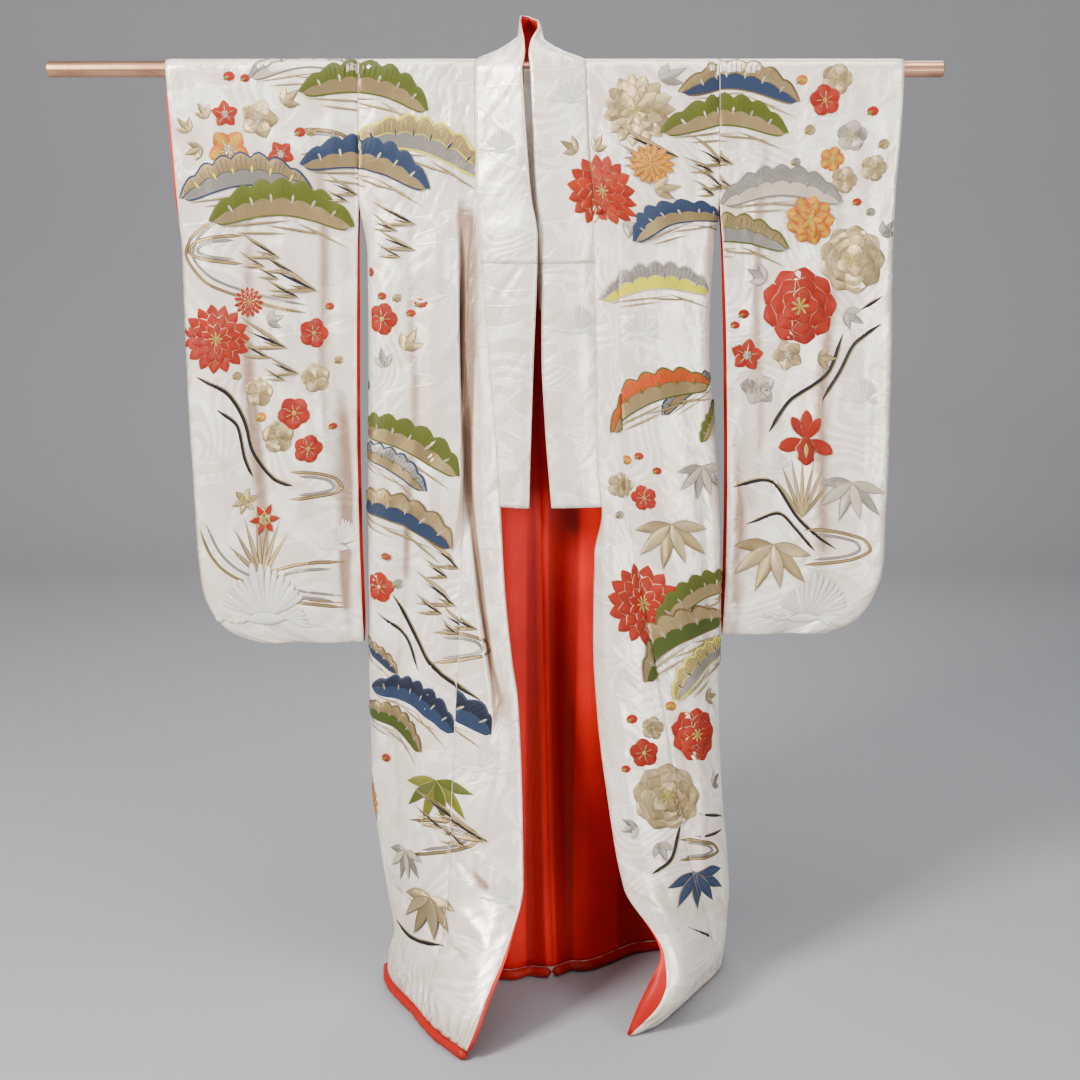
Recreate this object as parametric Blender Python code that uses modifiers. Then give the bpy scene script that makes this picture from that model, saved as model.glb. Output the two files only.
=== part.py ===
"""Uchikake wedding kimono with its fronts open, hung on a copper rod.

Metres, +Z up, +X to the right and +Y away from someone who faces the fronts.
The origin is on the rod's axis at the middle of the garment. Every cloth
piece is a thin wall on one guide surface, which runs up each front, over the
rod and down the back. Left and right are as seen from the front.
"""
import math

import bmesh
import bpy
from mathutils import Vector

for thing in list(bpy.data.objects):
    bpy.data.objects.remove(thing, do_unlink=True)

# Driving sizes
MM = 0.001
ROD_RADIUS = 0.014
ROD_LEFT = -0.861
ROD_RIGHT = 0.721
ROD_BEVEL = 0.0012
DRAPE_RADIUS = 0.016
SATIN = 0.0015
LINING = 0.0010
HALF_GAP = 0.00017
COVER_CLOTH = 0.0010
FLOOR_DROP = 1.742
ROLL_RADIUS = 0.0105
HEM_DROP = FLOOR_DROP - 2 * ROLL_RADIUS - 0.0015
LOW_HEM_DROP = FLOOR_DROP - 0.004
SLEEVE_DEPTH = 0.012
ARMHOLE_DROP = 0.22
SIDE_OPENING_END = 0.335
COLLAR_END = 0.778
COVER_END = 0.335
ROD_ANGLES = (30, 60, 90, 120, 150)
NECK_PLACES = ROD_ANGLES + (180, 225)

# Heights below the rod's axis at which the front and back walls have a row
FRONT_DROPS = (0.0, 0.10, 0.22, 0.28, 0.335, 0.42, 0.53, 0.65, 0.778, 0.87, 0.97, 1.08, 1.20, 1.33,
               1.46, 1.56, 1.65)
NECK_DROPS = (0.0, 0.014, 0.032)

# Each front table: drop below the axis, then x and y of its guide lines, in millimetres
# side seam, wrap round the side, chest, ridge, valley, seam with the okumi
LEFT_FRONT = (
    (0, -311, 0, -272, -15.5, -212, -15.5, -160, -15.5, -132, -15.5, -105, -15.5),
    (100, -313, 0, -275, -19, -215, -21, -158, -23, -130, -23, -105, -22),
    (220, -315, 0, -288, -22, -222, -29, -150, -33, -132, -30, -105, -31),
    (330, -303, 10, -292, -20, -224, -38, -139, -47, -134, -28, -118, -38),
    (460, -304, 11, -294, -22, -226, -45, -139, -55, -136, -24, -122, -45),
    (710, -310, 14, -298, -24, -230, -55, -137, -66, -134, -42, -132, -24),
    (930, -315, 16, -303, -26, -238, -60, -172, -71, -154, -74, -136, -75),
    (1135, -317, 20, -306, -24, -250, -64, -196, -90, -170, -97, -147, -102),
    (1320, -316, 21, -306, -22, -258, -66, -206, -105, -180, -119, -155, -131),
    (1462, -304, 19, -296, -20, -258, -70, -212, -116, -186, -140, -160, -161),
    (1546, -291, 16, -286, -20, -256, -74, -220, -122, -194, -154, -168, -182),
    (1635, -275, 16, -274, -20, -258, -78, -234, -126, -210, -166, -190, -202),
    (1690, -289, 28, -284, -20, -264, -82, -240, -128, -218, -172, -202, -208),
    (1742, -297, 52, -293, -18, -269, -85, -244, -129, -221, -174, -206, -211),
)
# past the seam: ridge, valley, second ridge, front edge, lip of the lining
LEFT_OKUMI = (
    (220, -104, -31, -103, -31, -102, -31, -101, -30, -100, -30),
    (330, -113, -41, -108, -41, -103, -40, -95, -36, -94, -36),
    (460, -118, -49, -112, -50, -103, -49, -86, -43, -85, -43),
    (710, -127, -26, -119, -36, -104, -62, -67, -51, -66, -50),
    (930, -114, -78, -103, -61, -86, -79, -56, -72, -54, -70),
    (1060, -95, -99, -85, -82, -70, -98, -43, -90, -40, -87),
    (1135, -88, -115, -74, -108, -58, -111, -32, -105, -29, -102),
    (1320, -118, -150, -90, -156, -58, -154, -24, -149, -20, -146),
    (1462, -128, -182, -96, -193, -60, -202, -22, -199, -17, -197),
    (1546, -138, -208, -110, -226, -80, -243, -46, -250, -40, -250),
    (1635, -166, -236, -141, -264, -115, -290, -88, -305, -81, -306),
    (1690, -184, -244, -163, -276, -139, -304, -110, -329, -103, -331),
    (1742, -190, -241, -172, -270, -154, -297, -132, -337, -126, -338),
)
# side seam, wrap round the side, chest, ridge, valley, seam with the okumi
RIGHT_FRONT = (
    (0, 325, 0, 288, -15.5, 214, -15.5, 160, -15.5, 124, -15.5, 90, -15.5),
    (100, 328, 0, 290, -19, 218, -21, 162, -23, 126, -23, 94, -22),
    (220, 330, 0, 300, -22, 226, -29, 170, -32, 134, -32, 106, -31),
    (290, 324, 8, 305, -23, 252, -34, 210, -38, 176, -38, 147, -37),
    (460, 318, 10, 306, -28, 262, -44, 218, -49, 182, -48, 152, -46),
    (710, 336, 10, 325, -31, 280, -54, 232, -62, 194, -61, 162, -58),
    (868, 348, 10, 338, -31, 295, -57, 250, -68, 214, -68, 184, -65),
    (1026, 348, 18, 341, -27, 312, -57, 276, -74, 242, -77, 213, -78),
    (1167, 351, 25, 346, -22, 326, -53, 298, -77, 268, -86, 241, -91),
    (1325, 358, 35, 356, -12, 342, -46, 320, -77, 294, -92, 268, -100),
    (1486, 376, 62, 374, 18, 364, -22, 346, -60, 324, -84, 300, -97),
    (1600, 385, 100, 384, 64, 378, 28, 366, -8, 350, -38, 333, -56),
    (1675, 382, 130, 383, 98, 381, 66, 373, 32, 363, 0, 350, -22),
    (1742, 379, 152, 380, 122, 379, 92, 374, 62, 367, 34, 357, 10),
)
# past the seam: middle, fold ridge, turned strip, front edge, lip of the lining
RIGHT_OKUMI = (
    (220, 105, -31, 104, -31, 103, -31, 102, -30, 101, -30),
    (290, 134, -38, 122, -38, 113, -37, 105, -34, 104, -34),
    (460, 142, -47, 131, -47, 121, -45, 110, -41, 109, -41),
    (710, 152, -61, 141, -62, 132, -60, 117, -51, 116, -50),
    (787, 156, -68, 139, -71, 129, -68, 123, -57, 120, -55),
    (868, 162, -77, 139, -81, 128, -76, 110, -51, 106, -49),
    (1026, 178, -93, 146, -98, 132, -94, 108, -66, 104, -64),
    (1167, 194, -110, 156, -116, 140, -112, 116, -93, 112, -91),
    (1325, 214, -126, 176, -134, 156, -132, 136, -119, 132, -117),
    (1486, 246, -142, 210, -160, 188, -161, 166, -151, 162, -149),
    (1600, 300, -130, 276, -178, 258, -197, 240, -202, 232, -202),
    (1640, 311, -120, 288, -182, 268, -216, 243, -226, 213, -219),
    (1675, 314, -108, 287, -178, 262, -224, 231, -238, 194, -231),
    (1742, 306, -74, 262, -146, 222, -204, 172, -243, 168, -239),
)
# past the side seam: outer fold, inner fold
LEFT_BACK = (
    (0, -241, 15.5, -170, 15.5),
    (14, -229, 16, -141, 16),
    (32, -212, 17, -110, 17),
    (220, -212, 22, -110, 23),
    (380, -212, 29, -110, 25),
    (710, -212, 36, -108, 25),
    (1000, -213, 39, -104, 21),
    (1320, -212, 43, -100, 16),
    (1546, -206, 41, -94, 8),
    (1635, -200, 38, -91, 4),
    (1690, -200, 37, -88, 1),
    (1742, -201, 36, -86, -1),
)
RIGHT_BACK = (
    (0, 248, 15.5, 164, 15.5),
    (14, 230, 16, 131, 16),
    (32, 212, 17, 100, 17),
    (220, 216, 22, 106, 23),
    (380, 216, 29, 108, 27),
    (710, 224, 37, 114, 44),
    (1000, 236, 46, 124, 52),
    (1325, 250, 68, 136, 52),
    (1486, 259, 90, 140, 55),
    (1600, 264, 106, 143, 58),
    (1675, 266, 120, 146, 62),
    (1742, 268, 132, 148, 66),
)
# Inner edge of the back: each half's neckline, then the centre seam: drop, x, y
LEFT_NECKLINE = ((0, -99, 15.5), (14, -52, 17), (32, -8, 19))
RIGHT_NECKLINE = ((0, 83, 15.5), (14, 37, 17), (32, -8, 19))
CENTRE_SEAM = (
    (32, -8, 19),
    (220, -7, 23),
    (380, -4, 29),
    (710, 9, 33),
    (1000, 14, 29),
    (1320, 21, 22),
    (1486, 25, 14),
    (1600, 29, 6),
    (1742, 34, 0),
)
# Collar guide lines: drop or place, then x, y, z of its middle and of its free edge
# down each front the seam is the front's own edge, so only the drop is given
LEFT_COLLAR = (
    (0, -60, -30, -22, -46),
    (100, -58, -38, -16, -52),
    (220, -50, -48, -6, -57),
    (290, -46, -54, 5, -59),
    (380, -44, -59, 3, -62),
    (500, -40, -63, -2, -67),
    (640, -36, -66, -7, -69),
    (778, -35, -66, -11, -70),
)
RIGHT_COLLAR = (
    (0, 44, -26, -8, -33),
    (100, 46, -33, -4, -38),
    (220, 54, -42, 1, -43),
    (290, 60, -48, 6, -46),
    (380, 64, -54, 11, -50),
    (500, 66, -60, 12, -56),
    (640, 70, -64, 19, -62),
    (778, 74, -66, 30, -68),
)
# over the rod and round the neck: angle round the rod, x, y, z of the middle, then of the free edge
LEFT_NECK = (
    (0, -60, -30, 0, -22, -46, 0),
    (45, -52, -22, 24, -17, -36, 28),
    (90, -46, -8, 38, -19, -20, 52),
    (135, -42, 8, 44, -23, -4, 70),
    (180, -38, 24, 42, -25, 14, 84),
    (225, -28, 40, 40, -24, 34, 93),
)
RIGHT_NECK = (
    (0, 44, -26, 0, -8, -33, 0),
    (45, 36, -20, 22, -11, -28, 26),
    (90, 30, -8, 34, -8, -16, 46),
    (135, 28, 8, 40, 0, -2, 62),
    (180, 24, 24, 40, 5, 14, 72),
    (225, 14, 40, 38, 4, 34, 84),
)
NECK_CENTRE = (-8, 50, 36, -12, 48, 92)
# shaded inner layer of the right collar, behind its free edge: drop, x, y of its far edge
COLLAR_TURN = (
    (0, -21, -24),
    (100, -20, -25),
    (220, -13, -28),
    (280, -9, -30),
    (335, 0, -34),
    (420, 8, -36),
)
# Sleeve: x and drop of the inner edge, x and drop of the outer edge, millimetres
LEFT_SLEEVE = (
    (-311, 0, -650, 0),
    (-313, 100, -645, 100),
    (-315, 220, -640, 215),
    (-319, 310, -637, 310),
    (-323, 430, -638, 430),
    (-326, 560, -638, 570),
    (-328, 700, -635, 740),
    (-328, 830, -632, 880),
    (-327, 910, -627, 945),
    (-326, 970, -610, 995),
    (-325, 1020, -580, 1030),
    (-324, 1050, -525, 1052),
)
RIGHT_SLEEVE = (
    (325, 0, 650, 0),
    (328, 100, 649, 100),
    (330, 220, 644, 215),
    (338, 310, 646, 310),
    (346, 430, 650, 430),
    (351, 560, 653, 570),
    (355, 700, 655, 740),
    (357, 830, 655, 865),
    (357, 900, 650, 925),
    (356, 955, 634, 972),
    (355, 1005, 606, 1008),
    (354, 1035, 552, 1033),
)
SLEEVE_COLUMNS = (0.0, 0.22, 0.46, 0.70, 0.88, 0.97, 1.0)
SLEEVE_BELLY = (1.0, 1.0, 1.0, 1.0, 0.88, 0.55, 0.0)
SLEEVE_CUFF_ROW = 3
SLEEVE_HEM_PLACE = 0.55
SLEEVE_HEM_ROUND = 1.6
BACK_SLEEVE_REACH = 0.004

# Soft folds that run down the back: x of the crest, half width, depth, first and last drop
BACK_FOLDS = (
    (-255, 30, 9, 450, 1742),
    (-160, 34, -10, 350, 1742),
    (-52, 26, -11, 300, 1742),
    (-8, 20, 7, 500, 1742),
    (52, 30, 13, 300, 1742),
    (110, 30, -10, 450, 1742),
    (196, 36, 12, 350, 1742),
    (300, 32, -11, 500, 1742),
)
# Soft waves of a sleeve, by place across it: crest, half width, depth, first and last drop
SLEEVE_WAVES = (
    (0.10, 0.05, 3.0, 250, 1050),
    (0.36, 0.16, -4.0, 230, 1050),
    (0.62, 0.14, 4.0, 200, 1050),
    (0.84, 0.10, -3.0, 350, 1000),
)

FRONT_COLUMNS = (0, 1, 1.5, 2, 2.5, 3, 4, 5)
BACK_COLUMNS = (0, 0.45, 0.9, 1.35, 1.8, 2.2, 2.6, 3)
LIP_COLUMNS = (0, 1, 2, 3, 4, 5)
OKUMI_EDGE = 4

# Smaller sizes of the cloth's form
ARMHOLE_NARROWING = 0.0025
SLEEVE_NARROWING_END = 0.45
COLLAR_BOW = 0.35
FOLD_SPREAD = 1.6
FOLD_GROWTH = 0.6
BACK_FOLD_START = 0.5
BACK_FOLD_END = 2.6
TURN_END = 0.42
TURN_SET_BACK = (-0.5, 5.0)
ROLL_TUCK = ROLL_RADIUS + LINING + 0.0022
ROLL_TRIM = 0.026
LEFT_ROLL_TRIMS = (0.004, 0.002)
TUCKED_ROLL_END = 0.012
CENTRE_TRIM = 0.006

COLOURS = {
    "satin": ((0.86, 0.82, 0.74), 0.38, 0.0),
    "lining": ((0.60, 0.02, 0.02), 0.42, 0.0),
    "hem_roll": ((0.78, 0.06, 0.03), 0.50, 0.0),
    "copper": ((0.55, 0.27, 0.15), 0.35, 1.0),
}

collection = bpy.data.collections.new("uchikake_wedding_kimono")
bpy.context.scene.collection.children.link(collection)


def principled(name, colour, roughness, metallic):
    material = bpy.data.materials.new(name)
    material.use_nodes = True
    shader = material.node_tree.nodes["Principled BSDF"]
    shader.inputs["Base Color"].default_value = (*colour, 1.0)
    shader.inputs["Roughness"].default_value = roughness
    shader.inputs["Metallic"].default_value = metallic
    material.diffuse_color = (*colour, 1.0)
    return material


def material_for(node, finish):
    colour, roughness, metallic = COLOURS[finish]
    return principled(node + "_" + finish, colour, roughness, metallic)


# Smooth curves through a table's rows
def slopes(places, values):
    """Slope at each row that never overshoots the rows beside it."""
    steps = [(values[i + 1] - values[i]) / (places[i + 1] - places[i]) for i in range(len(places) - 1)]
    result = [steps[0]]
    for before, after in zip(steps, steps[1:]):
        if before * after <= 0.0:
            result.append(0.0)
        else:
            result.append(2.0 * before * after / (before + after))
    result.append(steps[-1])
    return result


def curve_value(places, values, place):
    place = min(max(place, places[0]), places[-1])
    index = 0
    while index < len(places) - 2 and place > places[index + 1]:
        index += 1
    width = places[index + 1] - places[index]
    t = (place - places[index]) / width
    slope = slopes(places, values)
    start = (1 + 2 * t) * (1 - t) ** 2 * values[index] + t * (1 - t) ** 2 * width * slope[index]
    end = t * t * (3 - 2 * t) * values[index + 1] + t * t * (t - 1) * width * slope[index + 1]
    return start + end


def ease(low, high, place):
    t = min(max((place - low) / (high - low), 0.0), 1.0)
    return t * t * (3 - 2 * t)


def guide_lines(table, drop):
    """Places (x, y) in millimetres of a table's guide lines at a drop in metres."""
    drops = [row[0] for row in table]
    pairs = len(table[0]) // 2
    return [tuple(curve_value(drops, [row[1 + 2 * i + k] for row in table], drop / MM) for k in (0, 1))
            for i in range(pairs)]


def section_point(lines, column, drop):
    """Point at a place across a section's guide lines."""
    places = list(range(len(lines)))
    x = curve_value(places, [line[0] for line in lines], column)
    y = curve_value(places, [line[1] for line in lines], column)
    return Vector((x * MM, y * MM, -drop))


# Guide surface of each panel, at a drop below the rod's axis
def armhole_depth(drop):
    """Half the distance from front to back cloth along the sleeve's seam, in metres."""
    hang = DRAPE_RADIUS - ARMHOLE_NARROWING * min(drop / ARMHOLE_DROP, 1.0)
    return hang * (1.0 - ease(ARMHOLE_DROP, SIDE_OPENING_END, drop))


def side_line(front_table, drop, side_of_seam):
    x, y = guide_lines(front_table, drop)[0]
    return x, y + side_of_seam * armhole_depth(drop) / MM


def front_point(front_table, column, drop):
    lines = [side_line(front_table, drop, -1)] + guide_lines(front_table, drop)[1:]
    return section_point(lines, column, drop)


def okumi_point(front_table, okumi_table, column, drop):
    lines = guide_lines(front_table, drop)[-1:] + guide_lines(okumi_table, drop)
    return section_point(lines, column, drop)


def fold_depth(folds, place, drop):
    """Depth in metres of the soft folds at a place across and a drop in millimetres."""
    total = 0.0
    for crest, half_width, depth, first, last in folds:
        reach = abs(place - crest) / (half_width * FOLD_SPREAD)
        if reach < 1.0:
            grow = ease(first, first + FOLD_GROWTH * (last - first), drop)
            total += depth * grow * math.cos(reach * math.pi / 2) ** 2
    return total * MM


def back_point(front_table, back_table, neckline, column, drop):
    inner_edge = neckline if drop / MM < CENTRE_SEAM[0][0] else CENTRE_SEAM
    lines = [side_line(front_table, drop, 1)] + guide_lines(back_table, drop) + guide_lines(inner_edge, drop)
    point = section_point(lines, column, drop)
    free = ease(0.0, BACK_FOLD_START, column) * (1.0 - ease(BACK_FOLD_END, BACK_COLUMNS[-1], column))
    point.y += free * fold_depth(BACK_FOLDS, point.x / MM, drop / MM)
    return point


def over_rod(front, back, angle):
    """Point on the cloth over the rod, between a front row and a back row at the axis."""
    turn = math.radians(angle)
    x = front.x + (back.x - front.x) * angle / 180.0
    return Vector((x, -DRAPE_RADIUS * math.cos(turn), DRAPE_RADIUS * math.sin(turn)))


# Grids of guide points: rows run from the front hem up, over the rod and down the back
def body_grid(front_table, back_table, neckline, front_hem, back_hem):
    front = [[front_point(front_table, column, drop) for column in FRONT_COLUMNS]
             for drop in (front_hem,) + FRONT_DROPS[::-1]]
    back = [[back_point(front_table, back_table, neckline, column, drop) for column in BACK_COLUMNS]
            for drop in NECK_DROPS + FRONT_DROPS[1:] + (back_hem,)]
    rod_rows = [[over_rod(a, b, angle) for a, b in zip(front[-1], back[0])] for angle in ROD_ANGLES]
    return front + rod_rows + back


def okumi_grid(front_table, okumi_table, hem):
    return [[okumi_point(front_table, okumi_table, column, drop) for column in LIP_COLUMNS]
            for drop in (hem,) + FRONT_DROPS[:1:-1]]


def collar_row(seam, middle, edge):
    """Five guide points across the collar, bowed out between its seam, middle and free edge."""
    bow = (middle - edge.lerp(seam, 0.5)) * COLLAR_BOW
    return [seam, seam.lerp(middle, 0.5) + bow, middle, edge.lerp(middle, 0.5) + bow, edge]


def collar_half(front_table, back_table, okumi_table, neckline, collar_table, neck_table):
    """Rows of half the collar, from its lower end to the row before the back's centre."""
    rows = []
    for drop in FRONT_DROPS[FRONT_DROPS.index(COLLAR_END)::-1]:
        if drop >= ARMHOLE_DROP:
            seam = okumi_point(front_table, okumi_table, OKUMI_EDGE, drop)
        else:
            seam = front_point(front_table, FRONT_COLUMNS[-1], drop)
        middle, edge = (Vector((x, y, -drop / MM)) * MM for x, y in guide_lines(collar_table, drop))
        rows.append(collar_row(seam, middle, edge))
    backs = [back_point(front_table, back_table, neckline, BACK_COLUMNS[-1], drop) for drop in NECK_DROPS]
    seams = [over_rod(rows[-1][0], backs[0], angle) for angle in ROD_ANGLES] + backs
    angles = [row[0] for row in neck_table]
    for seam, place in zip(seams, NECK_PLACES):
        values = [curve_value(angles, [row[k] for row in neck_table], place) for k in range(1, 7)]
        rows.append(collar_row(seam, Vector(values[:3]) * MM, Vector(values[3:]) * MM))
    return rows, backs[-1]


def sleeve_grid(table, side):
    rows = list(range(len(table)))
    fine = rows[:-1] + [rows[-1] - SLEEVE_HEM_PLACE, rows[-1]]
    front = []
    back = []
    for place in sorted(fine):
        edges = [curve_value(rows, [row[i] for row in table], place) for i in range(4)]
        closed = ease(SLEEVE_CUFF_ROW - 1, SLEEVE_CUFF_ROW, place)
        rounding = math.sqrt(min((rows[-1] - place) / SLEEVE_HEM_ROUND, 1.0))
        front_row = []
        back_row = []
        for u, belly in zip(SLEEVE_COLUMNS, SLEEVE_BELLY):
            x = (edges[0] + (edges[2] - edges[0]) * u) * MM
            drop = (edges[1] + (edges[3] - edges[1]) * u) * MM
            narrowing = ease(0.0, SLEEVE_NARROWING_END, drop)
            depth = SLEEVE_DEPTH + (DRAPE_RADIUS - SLEEVE_DEPTH) * (1.0 - narrowing)
            if u == 0.0 and drop <= ARMHOLE_DROP:
                depth = armhole_depth(drop)
            depth *= (1.0 - closed + closed * belly) * rounding
            swing = fold_depth(SLEEVE_WAVES, u, drop / MM)
            reach = BACK_SLEEVE_REACH * (1.0 - u) * ease(ARMHOLE_DROP, SLEEVE_NARROWING_END, drop)
            reach *= side * rounding
            front_row.append(Vector((x, swing - depth, -drop)))
            back_row.append(Vector((x - reach, swing + depth, -drop)))
        front.append(front_row)
        back.append(back_row)
    rod_rows = [[over_rod(a, b, angle) for a, b in zip(front[0], back[0])] for angle in ROD_ANGLES]
    return front[::-1] + rod_rows + back


# Normals are shared by all the pieces, so that walls stay parallel across a seam
KEY_SCALE = 20000


def key_of(point):
    return tuple(round(value * KEY_SCALE) for value in point)


def add_normals(known, grid, turn):
    for row, after in zip(grid, grid[1:]):
        for i in range(len(row) - 1):
            normal = (after[i + 1] - row[i]).cross(after[i] - row[i + 1])
            if normal.length < 1e-10:
                continue
            normal.normalize()
            for corner in (row[i], row[i + 1], after[i + 1], after[i]):
                total = known.setdefault(key_of(corner), Vector((0, 0, 0)))
                total += normal * turn


def inset_point(grid, j, i):
    """Guide point, moved back from the panel's edge by half a seam's gap."""
    move = Vector((0, 0, 0))
    if j == 0:
        move += (grid[1][i] - grid[0][i]).normalized()
    if j == len(grid) - 1:
        move += (grid[-2][i] - grid[-1][i]).normalized()
    if i == 0:
        move += (grid[j][1] - grid[j][0]).normalized()
    if i == len(grid[0]) - 1:
        move += (grid[j][-2] - grid[j][-1]).normalized()
    return grid[j][i] + move * HALF_GAP


def wall(name, finish, grid, known, near, far, parting=0.0):
    """Closed loft between two offsets of the guide surface.

    parting moves the front rows forward and the back rows back, where a
    panel folds over the rod and its two layers are sewn to each other.
    """
    rows = range(len(grid))
    columns = range(len(grid[0]))
    normals = [[known[key_of(point)].normalized() for point in row] for row in grid]
    points = [[inset_point(grid, j, i) for i in columns] for j in rows]
    rod_row = (len(grid) - 1) // 2
    for j in rows:
        for point in points[j]:
            point.y += parting * ((j > rod_row) - (j < rod_row))
    mesh = bmesh.new()
    layers = [[[mesh.verts.new(points[j][i] + normals[j][i] * offset) for i in columns] for j in rows]
              for offset in (near, far)]
    for layer in layers:
        for j in rows[:-1]:
            for i in columns[:-1]:
                # every layer splits along the same diagonal, so that none cuts the next
                mesh.faces.new((layer[j][i], layer[j][i + 1], layer[j + 1][i + 1]))
                mesh.faces.new((layer[j][i], layer[j + 1][i + 1], layer[j + 1][i]))
    rim = [(0, i) for i in columns] + [(j, columns[-1]) for j in rows[1:]]
    rim += [(rows[-1], i) for i in columns[-2::-1]] + [(j, 0) for j in rows[-2:0:-1]]
    for (j, i), (k, m) in zip(rim, rim[1:] + rim[:1]):
        mesh.faces.new((layers[0][j][i], layers[0][k][m], layers[1][k][m], layers[1][j][i]))
    bmesh.ops.recalc_face_normals(mesh, faces=mesh.faces)
    data = bpy.data.meshes.new(name)
    mesh.to_mesh(data)
    mesh.free()
    data.materials.append(material_for(name, finish))
    data.shade_smooth()
    collection.objects.link(bpy.data.objects.new(name, data))


def outer_wall(name, grid, known, parting=0.0):
    wall(name, "satin", grid, known, HALF_GAP, HALF_GAP + SATIN, parting)


def lining_wall(name, grid, known, parting=0.0):
    wall(name, "lining", grid, known, -HALF_GAP - LINING, -HALF_GAP, parting)


def cover_wall(name, grid, known):
    wall(name, "satin", grid, known, 3 * HALF_GAP + SATIN, 3 * HALF_GAP + SATIN + COVER_CLOTH)


def trimmed(points, start, end):
    """Polyline with a length cut off each end."""
    for cut, turn in ((start, 1), (end, -1)):
        points = points[::turn]
        while (points[1] - points[0]).length <= cut:
            cut -= (points[1] - points[0]).length
            points = points[1:]
        points = [points[0] + (points[1] - points[0]).normalized() * cut] + points[1:]
        points = points[::turn]
    return points


def hem_roll(name, points):
    """Padded roll of the lining's cloth that lies under a hem."""
    curve = bpy.data.curves.new(name, "CURVE")
    curve.dimensions = "3D"
    curve.bevel_depth = ROLL_RADIUS
    curve.bevel_resolution = 2
    curve.use_fill_caps = True
    spline = curve.splines.new("POLY")
    spline.points.add(len(points) - 1)
    for place, point in zip(spline.points, points):
        place.co = (point.x, point.y, ROLL_RADIUS - FLOOR_DROP, 1.0)
    curve.materials.append(material_for(name, "hem_roll"))
    collection.objects.link(bpy.data.objects.new(name, curve))


def rod():
    bpy.ops.mesh.primitive_cylinder_add(vertices=28, radius=ROD_RADIUS, depth=ROD_RIGHT - ROD_LEFT,
                                        location=((ROD_LEFT + ROD_RIGHT) / 2, 0, 0),
                                        rotation=(0, math.pi / 2, 0))
    piece = bpy.context.object
    piece.name = "rod"
    edge = piece.modifiers.new("end_edges", "BEVEL")
    edge.width = ROD_BEVEL
    edge.segments = 1
    edge.limit_method = "ANGLE"
    piece.data.shade_smooth()
    piece.data.set_sharp_from_angle(angle=math.radians(40))
    piece.data.materials.append(material_for("rod", "copper"))
    for home in list(piece.users_collection):
        home.objects.unlink(piece)
    collection.objects.link(piece)


# Guide grids of every panel, and the normals that they share
body = {
    "left": body_grid(LEFT_FRONT, LEFT_BACK, LEFT_NECKLINE, HEM_DROP, HEM_DROP),
    "right": body_grid(RIGHT_FRONT, RIGHT_BACK, RIGHT_NECKLINE, LOW_HEM_DROP, HEM_DROP),
}
okumi = {
    "left": okumi_grid(LEFT_FRONT, LEFT_OKUMI, HEM_DROP),
    "right": okumi_grid(RIGHT_FRONT, RIGHT_OKUMI, LOW_HEM_DROP),
}
sleeve = {"left": sleeve_grid(LEFT_SLEEVE, -1), "right": sleeve_grid(RIGHT_SLEEVE, 1)}
left_collar, neck_centre = collar_half(LEFT_FRONT, LEFT_BACK, LEFT_OKUMI, LEFT_NECKLINE, LEFT_COLLAR,
                                       LEFT_NECK)
right_collar, _ = collar_half(RIGHT_FRONT, RIGHT_BACK, RIGHT_OKUMI, RIGHT_NECKLINE, RIGHT_COLLAR,
                              RIGHT_NECK)
centre_row = collar_row(neck_centre, Vector(NECK_CENTRE[:3]) * MM, Vector(NECK_CENTRE[3:]) * MM)
collar = left_collar + [centre_row] + right_collar[::-1]
cover_row = FRONT_DROPS.index(COLLAR_END) - FRONT_DROPS.index(COVER_END)
neck_row = len(left_collar) - len(NECK_PLACES) - 1

shared = {}
for side, turn in (("left", 1), ("right", -1)):
    add_normals(shared, body[side], turn)
    add_normals(shared, okumi[side], turn)
    add_normals(shared, sleeve[side], -turn)
add_normals(shared, collar, 1)

rod()
for side in ("left", "right"):
    outer_wall("body_" + side, body[side], shared)
    outer_wall("okumi_" + side, [row[:-1] for row in okumi[side]], shared)
    outer_wall("sleeve_" + side, sleeve[side], shared, HALF_GAP)
    lining_wall("body_lining_" + side, body[side], shared)
    lining_wall("okumi_lining_" + side, okumi[side], shared)
    lining_wall("sleeve_lining_" + side, sleeve[side], shared, HALF_GAP)
outer_wall("collar", collar, shared)
cover_wall("collar_cover", collar[cover_row:-cover_row], shared)
lining_wall("collar_lining", collar[neck_row:-neck_row], shared)

# Inner layer of the right collar, which turns back behind its free edge
turn_rows = []
for drop in FRONT_DROPS[FRONT_DROPS.index(TURN_END)::-1]:
    edge_x, edge_y = guide_lines(RIGHT_COLLAR, drop)[1]
    start = Vector((edge_x + TURN_SET_BACK[0], edge_y + TURN_SET_BACK[1], -drop / MM)) * MM
    far_x, far_y = guide_lines(COLLAR_TURN, drop)[0]
    end = Vector((far_x, far_y, -drop / MM)) * MM
    turn_rows.append([start, start.lerp(end, 0.5), end])
turn_normals = {}
add_normals(turn_normals, turn_rows, 1)
wall("collar_turn", "satin", turn_rows, turn_normals, 0.0, SATIN)

# Padded rolls under the hems: the left one shows, the right one is tucked behind the front
left_hem = body["left"][0] + okumi["left"][0][1:-1]
hem_roll("hem_roll_front_left", trimmed(left_hem, *LEFT_ROLL_TRIMS))
right_hem = body["right"][0] + okumi["right"][0][1:-1]
right_tucked = [point - shared[key_of(point)].normalized() * ROLL_TUCK for point in right_hem]
hem_roll("hem_roll_front_right", trimmed(right_tucked, ROLL_TRIM, TUCKED_ROLL_END))
for side in ("left", "right"):
    hem_roll("hem_roll_back_" + side, trimmed(body[side][-1], ROLL_TRIM, CENTRE_TRIM))
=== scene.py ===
import math

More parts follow.
